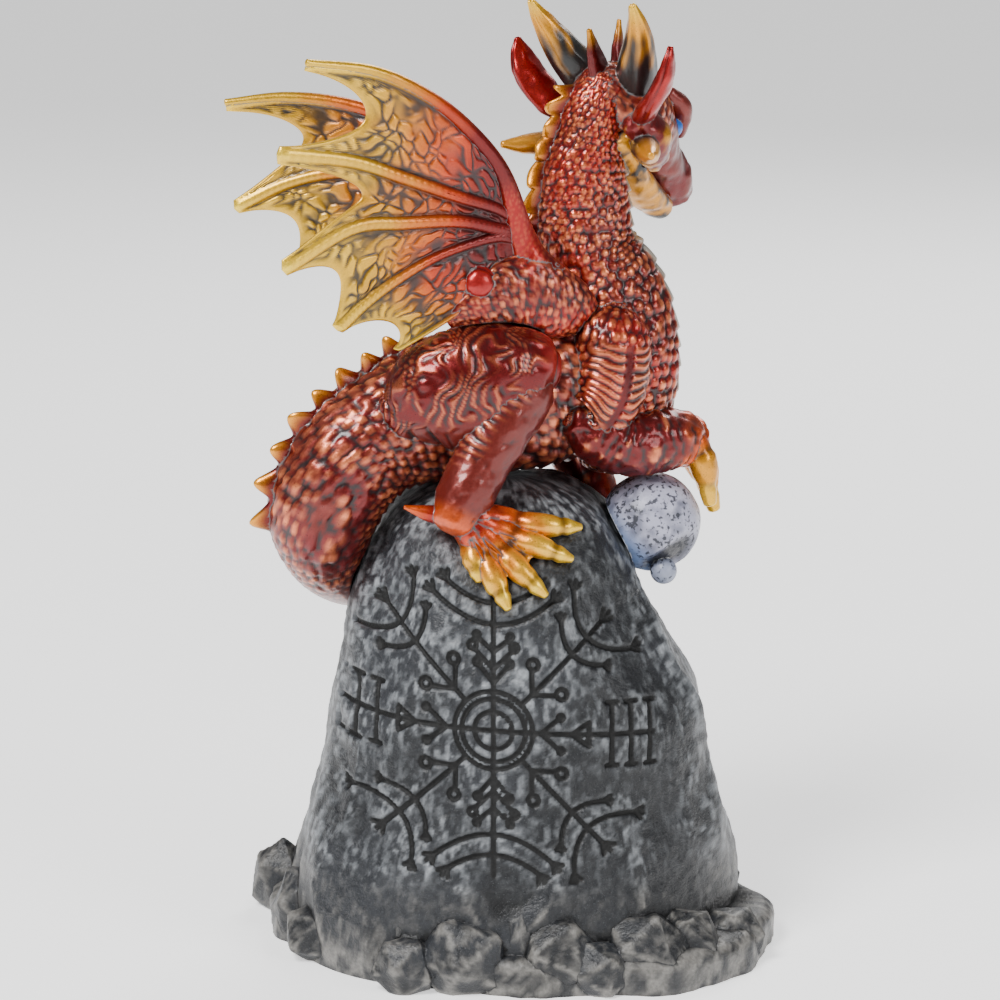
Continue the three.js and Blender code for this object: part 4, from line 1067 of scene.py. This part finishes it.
def toePieces(side):
    # a knuckled toe along each ray of the foot, orange to gold with a pale claw
    ankle, *tips = [place(p) for p in hindLeg([webbedFoot["ankle"], *webbedFoot["toes"]], side)]
    made = []
    for tip in tips:
        reach = np.array(webbedFoot["reach"])[:, None]
        core = ankle * (1 - reach) + tip * reach
        onRock = side * faceY(core[:, 0], core[:, 2], side) + webbedFoot["rise"]
        core[:, 1] = side * np.where(reach[:, 0] < 0.3, np.maximum(side * core[:, 1], onRock),
                                     onRock + 0.3)
        rows = np.column_stack([core, webbedFoot["radii"], webbedFoot["radii"]])
        shell = limbShell(rows, 0.5 if side < 0 else 1.0, 24 if side < 0 else 14, 0, at=np.asarray,
                          across=np.array([0, 1.0, 0]))
        t = shell["t"]
        knuckle = np.abs(np.sin(t * math.pi * 2.5 + 0.2))
        claw = ease(0.8, 0.86, t)
        lump = layeredNoise(shell["pos"], 1.5, 239, 2)
        rise = (0.4 * knuckle - 0.3 + 0.16 * lump) * (1 - claw)
        paint = rampPaint([(0, hide["ember"]), (0.3, hide["orange"]), (0.55, hide["gold"]),
                           (1, hide["lemon"])], t + 0.1 * lump)
        # dark wash and painted shade in the dips between knuckles
        paint = blendPaint(paint, hide["darkWashAndShade"], 0.6 * (1 - ease(0.1, 0.45, knuckle)) * (1 - claw))
        made.append(brushed("toe", shell, rise, paint, 0.85))
    return made


# head: forward along the snout, side to its left, up over the brow
headFrame = {"at": np.array([20.2, 12.5, 146.4]), "turn": math.radians(55), "nod": math.radians(-36)}
headParts = {
    "skull": [[-8, 0, 0.5, 5, 4.5], [-4, 0, 0.6, 8.4, 7], [2, 0, 0.6, 9, 7], [8, 0, 0, 7.6, 6],
              [14, 0, -0.8, 5.6, 4.8], [20, 0, -1.4, 5, 4.4], [24.8, 0, -2.4, 3.4, 3.2]],
    "jaw": [[-2, 0, -6.4, 6, 3], [6, 0, -7.8, 5.4, 2.8], [14, 0, -8, 4.4, 2.8], [21.6, 0, -7, 3, 2.2]],
    "brow": [[3, 6.4, 6.2, 1.4, 1.4], [7.5, 7.2, 5.6, 2, 1.8], [12.6, 5.2, 3.2, 1, 1]],
    "cheek": [[-4, 7.4, -3.5, 3, 3.4], [1, 8, -4.6, 3.6, 4], [6, 6.6, -5.4, 2.4, 2.8]],
    "horn": [[-3.5, 4.8, 2.6, 3.4, 3.4], [-7.5, 6.2, 3.8, 3.6, 3.7], [-13, 8.6, 5.9, 2.8, 2.9],
             [-17.5, 10, 7.6, 1.8, 1.8], [-21.4, 10.6, 8.8, 0.7, 0.7]],
    "ear": [[-3.6, 7.6, -3, 1.6, 2.2], [-6.8, 10.9, -2, 1.8, 3.3], [-10.2, 14.2, 1.2, 1.6, 3.4],
            [-12.8, 15.6, 3.8, 1.1, 2.1], [-14.2, 16, 5.2, 0.6, 0.8]],
    "cheekSpike": [[-1, 8.4, -7, 2.4, 2.4], [-2.8, 11, -9, 2.2, 2.2], [-5.4, 13.6, -11, 1.6, 1.6],
                   [-7.8, 15.6, -12.6, 0.7, 0.7]],
    "eye": [8.8, 5.8, 2.4], "eyeRadius": 1.9,
    "crest": [[[-3, 0, 2.5, 1.3, 2.6], [-6, 0, 7.5, 1.0, 1.9], [-9.6, 0, 13, 0.4, 0.5]],
              [[-6.5, 0, 0.5, 1.5, 3], [-12, 0, 3.6, 1.1, 2.2], [-16.6, 0, 6.4, 0.4, 0.5]]],
}
cosTurn, sinTurn = math.cos(headFrame["turn"]), math.sin(headFrame["turn"])
cosNod, sinNod = math.cos(-headFrame["nod"]), math.sin(-headFrame["nod"])
headTurn = (np.array([[cosTurn, -sinTurn, 0], [sinTurn, cosTurn, 0], [0, 0, 1]])
            @ np.array([[cosNod, 0, sinNod], [0, 1, 0], [-sinNod, 0, cosNod]]))


def inHead(p):
    # forward, side and up of the head as x, y and z of the plinth
    return np.asarray(p, float) @ headTurn.T + headFrame["at"]


def headShell(rows, spacing, sides, side=1):
    # a limb in the head's own frame
    return limbShell(onSide(rows, side), spacing, sides, 0, at=inHead, across=headTurn[:, 1])


def skullPiece():
    # beads on the crown, lumps on the snout
    shell = headShell(headParts["skull"], 0.5, 70)
    dome, pick, size = pebbles(shell, 30, 241, 0.6)
    lump = layeredNoise(shell["pos"], 3, 251, 3)
    back = 1 - ease(0.35, 0.6, shell["t"])
    rise = back * (dome * size * 0.3 - 0.2) + (1 - back) * 0.35 * lump
    base = blendPaint(hide["crimson"], hide["brick"], ease(-0.3, 0.5, lump))
    paint = blendPaint(base, beadPaint(dome, pick, base), back)
    return brushed("skull", shell, rise, paint, 0.75)


def jawPiece():
    # gold along the lower lip, lumpy
    shell = headShell(headParts["jaw"], 0.45, 56)
    lump = layeredNoise(shell["pos"], 2.4, 257, 3)
    paint = blendPaint(hide["gold"], hide["charcoal"], ease(-0.1, 0.6, lump))
    return brushed("jaw", shell, 0.3 * lump, paint, 0.7)


def sidePieces(side):
    # what each side of the head carries: brow, cheek, horn, ear, cheek spike and eye
    brow = headShell(headParts["brow"], 0.4, 32, side)
    cheek = headShell(headParts["cheek"], 0.45, 44, side)
    horn = headShell(headParts["horn"], 0.5, 36, side)
    ear = headShell(headParts["ear"], 0.45, 44, side)
    spike = headShell(headParts["cheekSpike"], 0.5, 28, side)
    lump = layeredNoise(cheek["pos"], 2.2, 263, 3)
    groove = np.sin(7 * horn["theta"] + 3 * softNoise(horn["pos"], 5, 269))
    streak = softNoise(horn["pos"] * np.array([1, 1, 0.4]), 1.6, 271)
    crease = np.clip(np.exp(-((ear["theta"] - 1.5 * math.pi) / 0.5) ** 2)
                     + np.exp(-((ear["theta"] - 0.5 * math.pi) / 0.3) ** 2), 0, 1)
    earRise = 0.22 * layeredNoise(ear["pos"], 2.4, 281, 2) - 0.4 * crease * ease(0.3, 0.5, ear["t"])
    eyeAt = inHead(np.array(headParts["eye"]) * np.array([1, side, 1]))
    tipGold = ease(0.42, 0.72, horn["t"] + 0.14 * streak + 0.06 * groove)
    made = [
        brushed("brow", brow, 0.15 * layeredNoise(brow["pos"], 1.8, 277, 2),
                np.broadcast_to(hide["brick"], brow["pos"].shape).copy(), 0.7),
        brushed("cheek", cheek, 0.35 * lump,
                blendPaint(hide["crimson"], hide["gold"] * 0.7, ease(-0.1, 0.5, lump)), 0.75),
        brushed("horn", horn, 0.07 * groove + 0.08 * streak,
                blendPaint(blendPaint(hide["charcoal"], hide["gold"], tipGold), hide["lemon"],
                           0.7 * ease(0.75, 1, horn["t"])),
                0.35 + 0.5 * tipGold),
        # the ear's pressed-in crease is darkened with dark wash and painted shade
        brushed("ear", ear, earRise, blendPaint(hide["ember"], hide["darkWashAndShade"], 0.5 * crease), 0.9),
        brushed("cheek spike", spike, 0.1 * layeredNoise(spike["pos"], 1.6, 283, 2),
                blendPaint(hide["charcoal"], hide["gold"], ease(0.15, 0.8, spike["t"])), 0.6),
        globe("eye", eyeAt, headParts["eyeRadius"], 40, None,
              lambda way: np.broadcast_to(hide["eye"], way.shape).copy()),
    ]
    return made


def crestPieces():
    # pointed scales over the back of the head, dark red with gold tips
    made = []
    for rows in headParts["crest"]:
        shell = headShell(rows, 0.36, 36)
        paint = blendPaint(hide["crimson"] * 0.8, hide["gold"], 0.9 * ease(0.66, 1.0, shell["t"]))
        made.append(brushed("crest", shell, 0.12 * layeredNoise(shell["pos"], 2, 293, 2), paint, 0.85))
    return made


fins = {"neck": {"from": 0.03, "to": 0.5, "waves": 8.5, "height": 3.2, "root": 1.6, "thick": 0.95,
                 "sharp": 0.8, "base": 0.5},
        "trunk": {"from": 0.33, "to": 0.585, "waves": 9, "height": 3.6, "root": 1.6, "thick": 1.0,
                  "sharp": 1.6, "base": 0.12}}


def finPiece(limb):
    # a frill along the back edge of a limb: it stands out by a row of waves,
    # thick at the root and thin at the crest
    fin = fins[limb]
    rows = np.array(limbs[limb], float)
    s, h = np.meshgrid(np.linspace(0, 1, 150), np.linspace(0, 1, 9), indexing="ij")
    t = fin["from"] + (fin["to"] - fin["from"]) * s
    row = through(rows, t)
    run = unit(place(through(rows[:, :3], t + 0.004)) - place(through(rows[:, :3], t - 0.004)))
    out = unit(np.cross(np.broadcast_to(leftward, run.shape), run))
    wave = np.abs(np.sin(math.pi * fin["waves"] * s)) ** fin["sharp"]
    ends = ease(0, 0.06, s) * (1 - ease(0.94, 1, s))
    crest = ((fin["base"] + (1 - fin["base"]) * wave) * ends * fin["height"]
             * (0.85 + 0.25 * softNoise(np.stack([s * 19, s, s], -1), 1, 307)))
    stand = row[..., 4] - fin["root"] + h * (crest + fin["root"])
    core = place(row[..., :3]) + out * stand[..., None]
    core = core + run * (0.9 * h * wave)[..., None] + leftward * (0.5 * np.sin(s * 41) * h)[..., None]
    thick = fin["thick"] * np.sqrt(np.clip(1 - h ** 2.2, 0.03, 1)) * (0.6 + 0.4 * ends)
    tip = ease(0.4, 1.0, h) * ends * (0.55 + 0.45 * wave)
    upper = 1 - ease(0.62, 0.78, s) if limb == "neck" else ease(0.2, 0.9, wave)
    paint = blendPaint(np.broadcast_to(hide["crimson"], core.shape),
                       blendPaint(hide["orange"], hide["gold"], h), tip * upper)
    return slabPiece("fin", core + leftward * thick[..., None], core - leftward * thick[..., None], paint,
                     np.full(s.shape, 0.9))


def brushDragon(piece):
    # a dark wash and painted shade settle wherever the surface lies below its surroundings, finely or
    # broadly, and what stands proud is rubbed lighter, dry-brush and painted highlight together
    mesh = piece.data
    paint, gleam = readValues(mesh, "paint", 4)[:, :3], readValues(mesh, "gleam", 1)[:, 0]
    fine, broad = hollows(mesh, 4), hollows(mesh, 50)
    washAndShade = np.clip(ease(0.0, 0.12, fine) + 0.9 * ease(0.25, 1.4, broad), 0, 1)
    proud = ease(0.03, 0.2, -fine)
    joins = paint.min(1) > 0.98  # points on a join come without paint
    # points on a join, where shells meet in a crease, take full dark wash and painted shade
    washAndShade[joins] = 1
    # what stands proud is lightened: dry-brush rub and painted highlight
    paint = blendPaint(paint, np.minimum(paint * 1.6 + 0.02, 1), 0.5 * proud)
    paint = blendPaint(paint, hide["darkWashAndShade"], 0.93 * washAndShade)
    writePaint(mesh, paint, gleam * (1 - 0.6 * washAndShade))


def dragonPieces():
    # every shell of the dragon
    made = [neckPiece(), trunkPiece(), skullPiece(), jawPiece(), *crestPieces(), finPiece("neck"),
            finPiece("trunk")]
    for side in (-1, 1):
        made += [thighPiece(side), shinPiece(side), spurPiece(side), footPieceOf(side), *toePieces(side),
                 upperArmPiece(side), *sidePieces(side)]
    made += [forearmPiece(limbs["restingForearm"], -1), forearmPiece(limbs["bracedForearm"], 1)]
    made += [fingerPiece(points, -1) for points in fingersOf["resting"]]
    made += [fingerPiece(points, 1) for points in fingersOf["braced"]]
    return made


def ballCutter(grow):
    # a plain copy of the ball, a little larger
    return globe("ball cutter", place(np.array(ball["at"])), ball["radius"] + grow, 60)


dragon = unite("dragonBody", dragonPieces(), [boulderCutter(0.3), ballCutter(0.3)])
brushDragon(dragon)
finishPiece(dragon, "dragon", crimsonFinish)
print("dragon joined and brushed")

# wings: five fingers from the wrist to the tip as along, left, up, with a scalloped web between them
wings = {
    "right": [[[-0.6, -10, 129.5], [-4.6, -12.6, 138.2], [-11.2, -15, 146], [-19, -17, 152.1],
               [-29, -19, 156.8], [-41.2, -21, 158.8]],
              [[-0.3, -9.8, 128.4], [-5, -11.2, 131.8], [-13, -14, 134.6], [-23.5, -17, 138.5],
               [-33.4, -19, 142], [-46.5, -21, 143.9]],
              [[-0.3, -9.7, 127.2], [-5, -11.2, 128.4], [-13, -14, 130.4], [-23.3, -16.6, 130.9],
               [-33.4, -18.6, 130.6], [-45.8, -20.6, 124.4]],
              [[-0.3, -9.6, 126], [-6, -11.2, 127.2], [-16.7, -14, 124.9], [-25.2, -16, 121],
               [-31.2, -17, 117.1], [-35.6, -17.6, 113.2]],
              [[0.8, -9.2, 121], [-4, -10.6, 118.4], [-9, -11.6, 115.8], [-14, -12.4, 113.2],
               [-18.6, -12.8, 110.8], [-23.4, -13, 108.4]]],
    "left": [[[-0.2, 10, 129.5], [-5.5, 15.5, 137.6], [-13, 20.4, 143.6], [-22, 25.4, 146.9],
              [-32, 29.2, 148], [-42.4, 31.6, 147.2]],
             [[-0.3, 9.8, 128.4], [-6, 14.6, 131.6], [-14, 19.6, 133.6], [-23, 24.6, 134.6],
              [-32, 28.4, 132.6], [-41.2, 31.4, 128]],
             [[-0.3, 9.7, 127.2], [-5, 13.4, 128.2], [-11.5, 17.8, 128.4], [-18, 21.8, 127],
              [-24.4, 25.2, 123.6], [-30, 27.5, 118]],
             [[-0.3, 9.6, 126], [-4, 11.8, 125.4], [-8, 13.8, 123.2], [-11.6, 15.6, 119.8],
              [-14.6, 17, 115], [-16.8, 18, 109.4]],
             [[0.8, 9.2, 121], [-2, 10, 119], [-5, 11, 116.6], [-8, 11.8, 114], [-11, 12.4, 111.2],
              [-14, 12.8, 108.4]]],
    "rightScallops": [0.21, 0.24, 0.13, 0.18], "leftScallops": [0.26, 0.12, 0.15, 0.2],
    "claw": 0.09, "scallopPower": 0.6, "halfThick": 0.65, "ridge": 0.8, "tipTaper": 0.4,
    "ridgeHalf": 1.15, "cell": [2.3, 3.1],
    "arm": [[9.6, 7.4, 112.6, 3, 3.2], [6, 8.8, 117, 3.2, 4.4], [2, 9.6, 121.6, 2.6, 3.6],
            [-0.4, 10, 127, 2.1, 2.6]],
    "edgeRadii": [1.6, 1.4, 1.25, 1.1, 0.75],
    "pad": [[14.6, 8.4, 110.2, 1.4, 1.6], [8.6, 9.4, 113.6, 2.8, 5.4], [0, 10.4, 116.4, 3, 7],
            [-8, 11.4, 115.4, 2.4, 5], [-13.6, 12, 113.4, 1, 2]],
    "boss": [[-8.6, 11.2, 118.8, 2.6, 2.6], [-8.9, 12.6, 119.3, 3.2, 3.2], [-9, 13.3, 119.4, 2.4, 2.4]],
    "fade": [(0, srgb(92, 10, 12)), (0.3, srgb(112, 16, 12)), (0.45, srgb(176, 52, 6)),
             (0.58, srgb(190, 98, 8)), (0.75, srgb(196, 146, 18)), (1, srgb(222, 178, 40))],
}


def webSheet(name, fingers, scallops, perPanel, rows, seed):
    # u counts the panels between fingers and t runs from wrist to edge; each web's reach is cut
    # by a scallop. Its two faces stand apart by a thickness that swells into a ridge on each finger;
    # between the ridges lie flat-topped cells with grooves round them
    fingers = np.array(fingers)
    panels = len(fingers) - 1
    t, u = np.meshgrid(np.linspace(0, 1, rows), np.linspace(0, panels, panels * perPanel + 1),
                       indexing="ij")
    panel = np.minimum(u.astype(int), panels - 1)
    between = u - panel
    inWeb = np.clip((between - wings["claw"]) / (1 - 2 * wings["claw"]), 0, 1)
    reach = t * (1 - np.array(scallops)[panel] * np.sin(math.pi * inWeb) ** wings["scallopPower"])
    every = through(np.moveaxis(fingers, 0, 1), reach)
    pick = lambda index: np.take_along_axis(every, index[..., None, None].repeat(3, -1), 2)[..., 0, :]
    near, following = pick(panel), pick(panel + 1)
    core = place(near * (1 - between[..., None]) + following * between[..., None])
    normal = unit(np.cross(np.gradient(core, axis=1), np.gradient(core, axis=0)))
    width = np.linalg.norm(following - near, axis=-1)
    lengths = np.linalg.norm(np.diff(fingers, axis=1), axis=-1).sum(1)
    along = reach * (lengths[panel] * (1 - between) + lengths[panel + 1] * between)
    off = np.minimum(between, 1 - between) * width
    ridge = np.sqrt(np.clip(1 - (off / wings["ridgeHalf"]) ** 2, 0, 1)) * ease(0.02, 0.2, t)
    bead = np.abs(np.sin(along * math.pi / 1.25))
    wander, weave = layeredNoise(core, 4, seed, 2), layeredNoise(core, 5, seed + 7, 2)
    cellNear, cellSecond, cellPick = cellField(between * width / wings["cell"][0] + 0.9 * wander,
                                               along / wings["cell"][1] + 0.9 * weave,
                                               1000, seed + 3, 0.95)
    top = ease(0.06, 0.42, cellSecond - cellNear)
    inside = (ease(wings["ridgeHalf"] * 0.9, wings["ridgeHalf"] * 1.6, off) * ease(0.12, 0.3, t)
              * (1 - ease(0.93, 0.985, t)))
    groove = (np.exp(-((off - wings["ridgeHalf"] * 1.25) / 0.5) ** 2) * ease(0.15, 0.35, t)
              * (1 - ease(0.75, 0.95, t)))
    thick = ((wings["halfThick"] + (wings["ridge"] + 0.09 * bead - 0.05) * ridge)
             * (1 - wings["tipTaper"] * t))
    thick = thick + inside * (0.3 * top * (0.6 + 0.6 * cellPick) - 0.12) - 0.16 * groove
    fromEdge = np.minimum(np.where(panel == 0, between * width, 9),
                          np.where(panel == panels - 1, (1 - between) * width, 9))
    rim = np.sqrt(np.clip(1 - (1 - np.clip(fromEdge / 1.2, 0, 1)) ** 2, 0.12, 1))
    thick = np.maximum(thick, 0.28) * rim * np.sqrt(np.clip(1 - ease(0.965, 1.006, t) ** 2, 0.08, 1))
    paint = rampPaint(wings["fade"], reach + 0.05 * wander)
    # painted highlight along each finger's ridge, paler and yellower towards the edge
    ridgeHighlight = blendPaint(paint * 1.25, hide["lemon"], 0.25 * ease(0.4, 0.8, reach))
    paint = blendPaint(paint, np.minimum(ridgeHighlight, 1), ridge ** 3 * (0.3 + 0.4 * ease(0.4, 1, bead)))
    dark = srgb(20, 19, 21)
    paint = blendPaint(paint, dark, 0.92 * inside * (1 - top) * ease(-0.7, 0.1, weave))
    # dark wash and painted shade in the groove beside each ridge
    paint = blendPaint(paint, dark, 0.75 * groove)
    paint = blendPaint(paint, np.minimum(paint * 1.35, 1), inside * top * cellPick * 0.6)
    thickOut = normal * thick[..., None]
    return slabPiece(name, core + thickOut, core - thickOut, paint, 0.8 - 0.4 * inside * (1 - top))


def leadingEdge(hand, side):
    # the arm's rows run on along the first finger to its tip
    arm = onSide(wings["arm"], side)
    finger = [[*point, radius, radius] for point, radius in zip(wings[hand][0][1:], wings["edgeRadii"])]
    return np.concatenate([arm, finger])


def wingArm(rows, seed, around, deep, fade):
    # the wing's arm or pad: crimson with beads, deep on the pad and faint on the arm,
    # which fades to gold outwards
    shell = limbShell(rows, 0.42, 56, 0.2)
    dome, pick, size = pebbles(shell, around, seed, 0.7)
    base = blendPaint(hide["crimson"], hide["ember"],
                      ease(-0.3, 0.5, softNoise(shell["pos"], 4, seed + 5)))
    paint = beadPaint(dome, pick * deep * 3, base)
    out = np.clip((shell["t"] - 0.45) / 0.55, 0, 1)
    faded = rampPaint(wings["fade"], out + 0.04 * layeredNoise(shell["pos"], 3, seed + 9, 2))
    paint = blendPaint(paint, faded, fade * ease(0, 0.1, out))
    return brushed("wing arm", shell, dome * size * deep - 0.1, paint, 0.85)


def bossPiece(side):
    # one large round scale at the wing's root, bright red
    shell = limbShell(onSide(wings["boss"], side), 0.25, 60, 0, across=forward)
    rise = 0.08 * layeredNoise(shell["pos"], 1.2, 311, 2)
    return brushed("boss", shell, rise, np.broadcast_to(hide["ember"], shell["pos"].shape).copy(), 0.8)


def bodyCutters(grow):
    # plain copies of what the wings are seated against, a little larger
    rows = [limbs["neck"], limbs["trunk"]]
    for side in (-1, 1):
        rows += [hindLeg(limbs["thigh"], side), onSide(limbs["upperArm"], side)]
    made = []
    for table in rows:
        shell = limbShell(table, 1.0, 48, 0, grow)
        made.append(tubePiece("body cutter", shell["pos"], np.zeros(shell["pos"].shape),
                              np.zeros(shell["pos"].shape[:2])))
    return made


def brushWing(piece):
    # a dark wash and painted shade in fine hollows and the deep corners, and a lighter rub that is partly
    # painted highlight on what stands proud
    mesh = piece.data
    paint, gleam = readValues(mesh, "paint", 4)[:, :3], readValues(mesh, "gleam", 1)[:, 0]
    fine, broad = hollows(mesh, 4), hollows(mesh, 40)
    washAndShade = np.clip(ease(0.015, 0.12, fine) + 0.8 * ease(0.2, 1.0, broad), 0, 1)
    washAndShade[paint.min(1) > 0.98] = 1  # points on a join come without paint
    # what stands proud is lightened: dry-brush rub and painted highlight
    paint = blendPaint(paint, np.minimum(paint * 1.5 + 0.02, 1), 0.5 * ease(0.02, 0.14, -fine))
    # dark wash and painted shade in hollows, corners and joins
    paint = blendPaint(paint, srgb(16, 14, 16), 0.88 * washAndShade)
    writePaint(mesh, paint, gleam * (1 - 0.5 * washAndShade))


for side, hand, perPanel, rows in ((-1, "right", 58, 165), (1, "left", 50, 140)):
    parts = [webSheet("web", wings[hand], wings[hand + "Scallops"], perPanel, rows, 401 + side),
             wingArm(leadingEdge(hand, side), 421 + side, 16, 0.07, 1.0),
             wingArm(onSide(wings["pad"], side), 431 + side, 22, 0.3, 0.0), bossPiece(side)]
    wing = unite("wing" + hand.capitalize(), parts, bodyCutters(0.5))
    brushWing(wing)
    finishPiece(wing, "wing_" + hand, wingFinish)
print("wings spread")

# floor, lights and camera
studio = {"floorHalf": 8.0, "floorGlow": 0.85, "key": [(-0.42, -0.5, 0.8), 0.36, 12.5],
          "fill": [(0.7, -0.55, 0.45), 0.4, 3.6],
          "back": [(0.25, 0.75, 0.7), 0.5, 6.0], "sky": 0.22}


def floorPiece():
    # a level square
    half = studio["floorHalf"]
    mesh = bpy.data.meshes.new("floor")
    mesh.from_pydata([(-half, -half, 0), (half, -half, 0), (half, half, 0), (-half, half, 0)], [],
                     [(0, 1, 2, 3)])
    finish = Finish("pale floor", {"Roughness": 0.7, "Emission Color": (1, 1, 1, 1),
                                   "Emission Strength": studio["floorGlow"]})
    cloud = finish.noise(900.0, 2.0)
    mesh.materials.append(finish.wear(Base_Color=finish.tint((0.93, 0.93, 0.93), cloud * 0.04 + 0.97)))
    floor = bpy.data.objects.new("floor", mesh)
    bpy.context.scene.collection.objects.link(floor)


def softLight(name, at, size, power):
    # a square lamp turned towards the middle of the figure
    lamp = bpy.data.lights.new(name, "AREA")
    lamp.size, lamp.energy = size, power
    holder = bpy.data.objects.new(name, lamp)
    holder.location = at
    away = np.array(at) - np.array([0, 0, 0.09])
    holder.rotation_euler = (math.acos(away[2] / np.linalg.norm(away)), 0,
                             math.atan2(away[1], away[0]) + math.pi / 2)
    bpy.context.scene.collection.objects.link(holder)


floorPiece()
for name in ("key", "fill", "back"):
    softLight(name + " light", *studio[name])
world = bpy.data.worlds.new("studio")
world.use_nodes = True
world.node_tree.nodes["Background"].inputs[0].default_value = (1, 1, 1, 1)
world.node_tree.nodes["Background"].inputs[1].default_value = studio["sky"]
bpy.context.scene.world = world

view = {"at": (0, -0.6260, 0.2131), "tilt": math.radians(78), "sensor": 36, "lens": 129.6,
        "shift": (-0.005, -0.008)}
lens = bpy.data.cameras.new("camera")
lens.sensor_width, lens.lens = view["sensor"], view["lens"]
lens.shift_x, lens.shift_y = view["shift"]
camera = bpy.data.objects.new("camera", lens)
camera.location = view["at"]
camera.rotation_euler = (view["tilt"], 0, 0)
bpy.context.scene.collection.objects.link(camera)
bpy.context.scene.camera = camera
print("studio set")
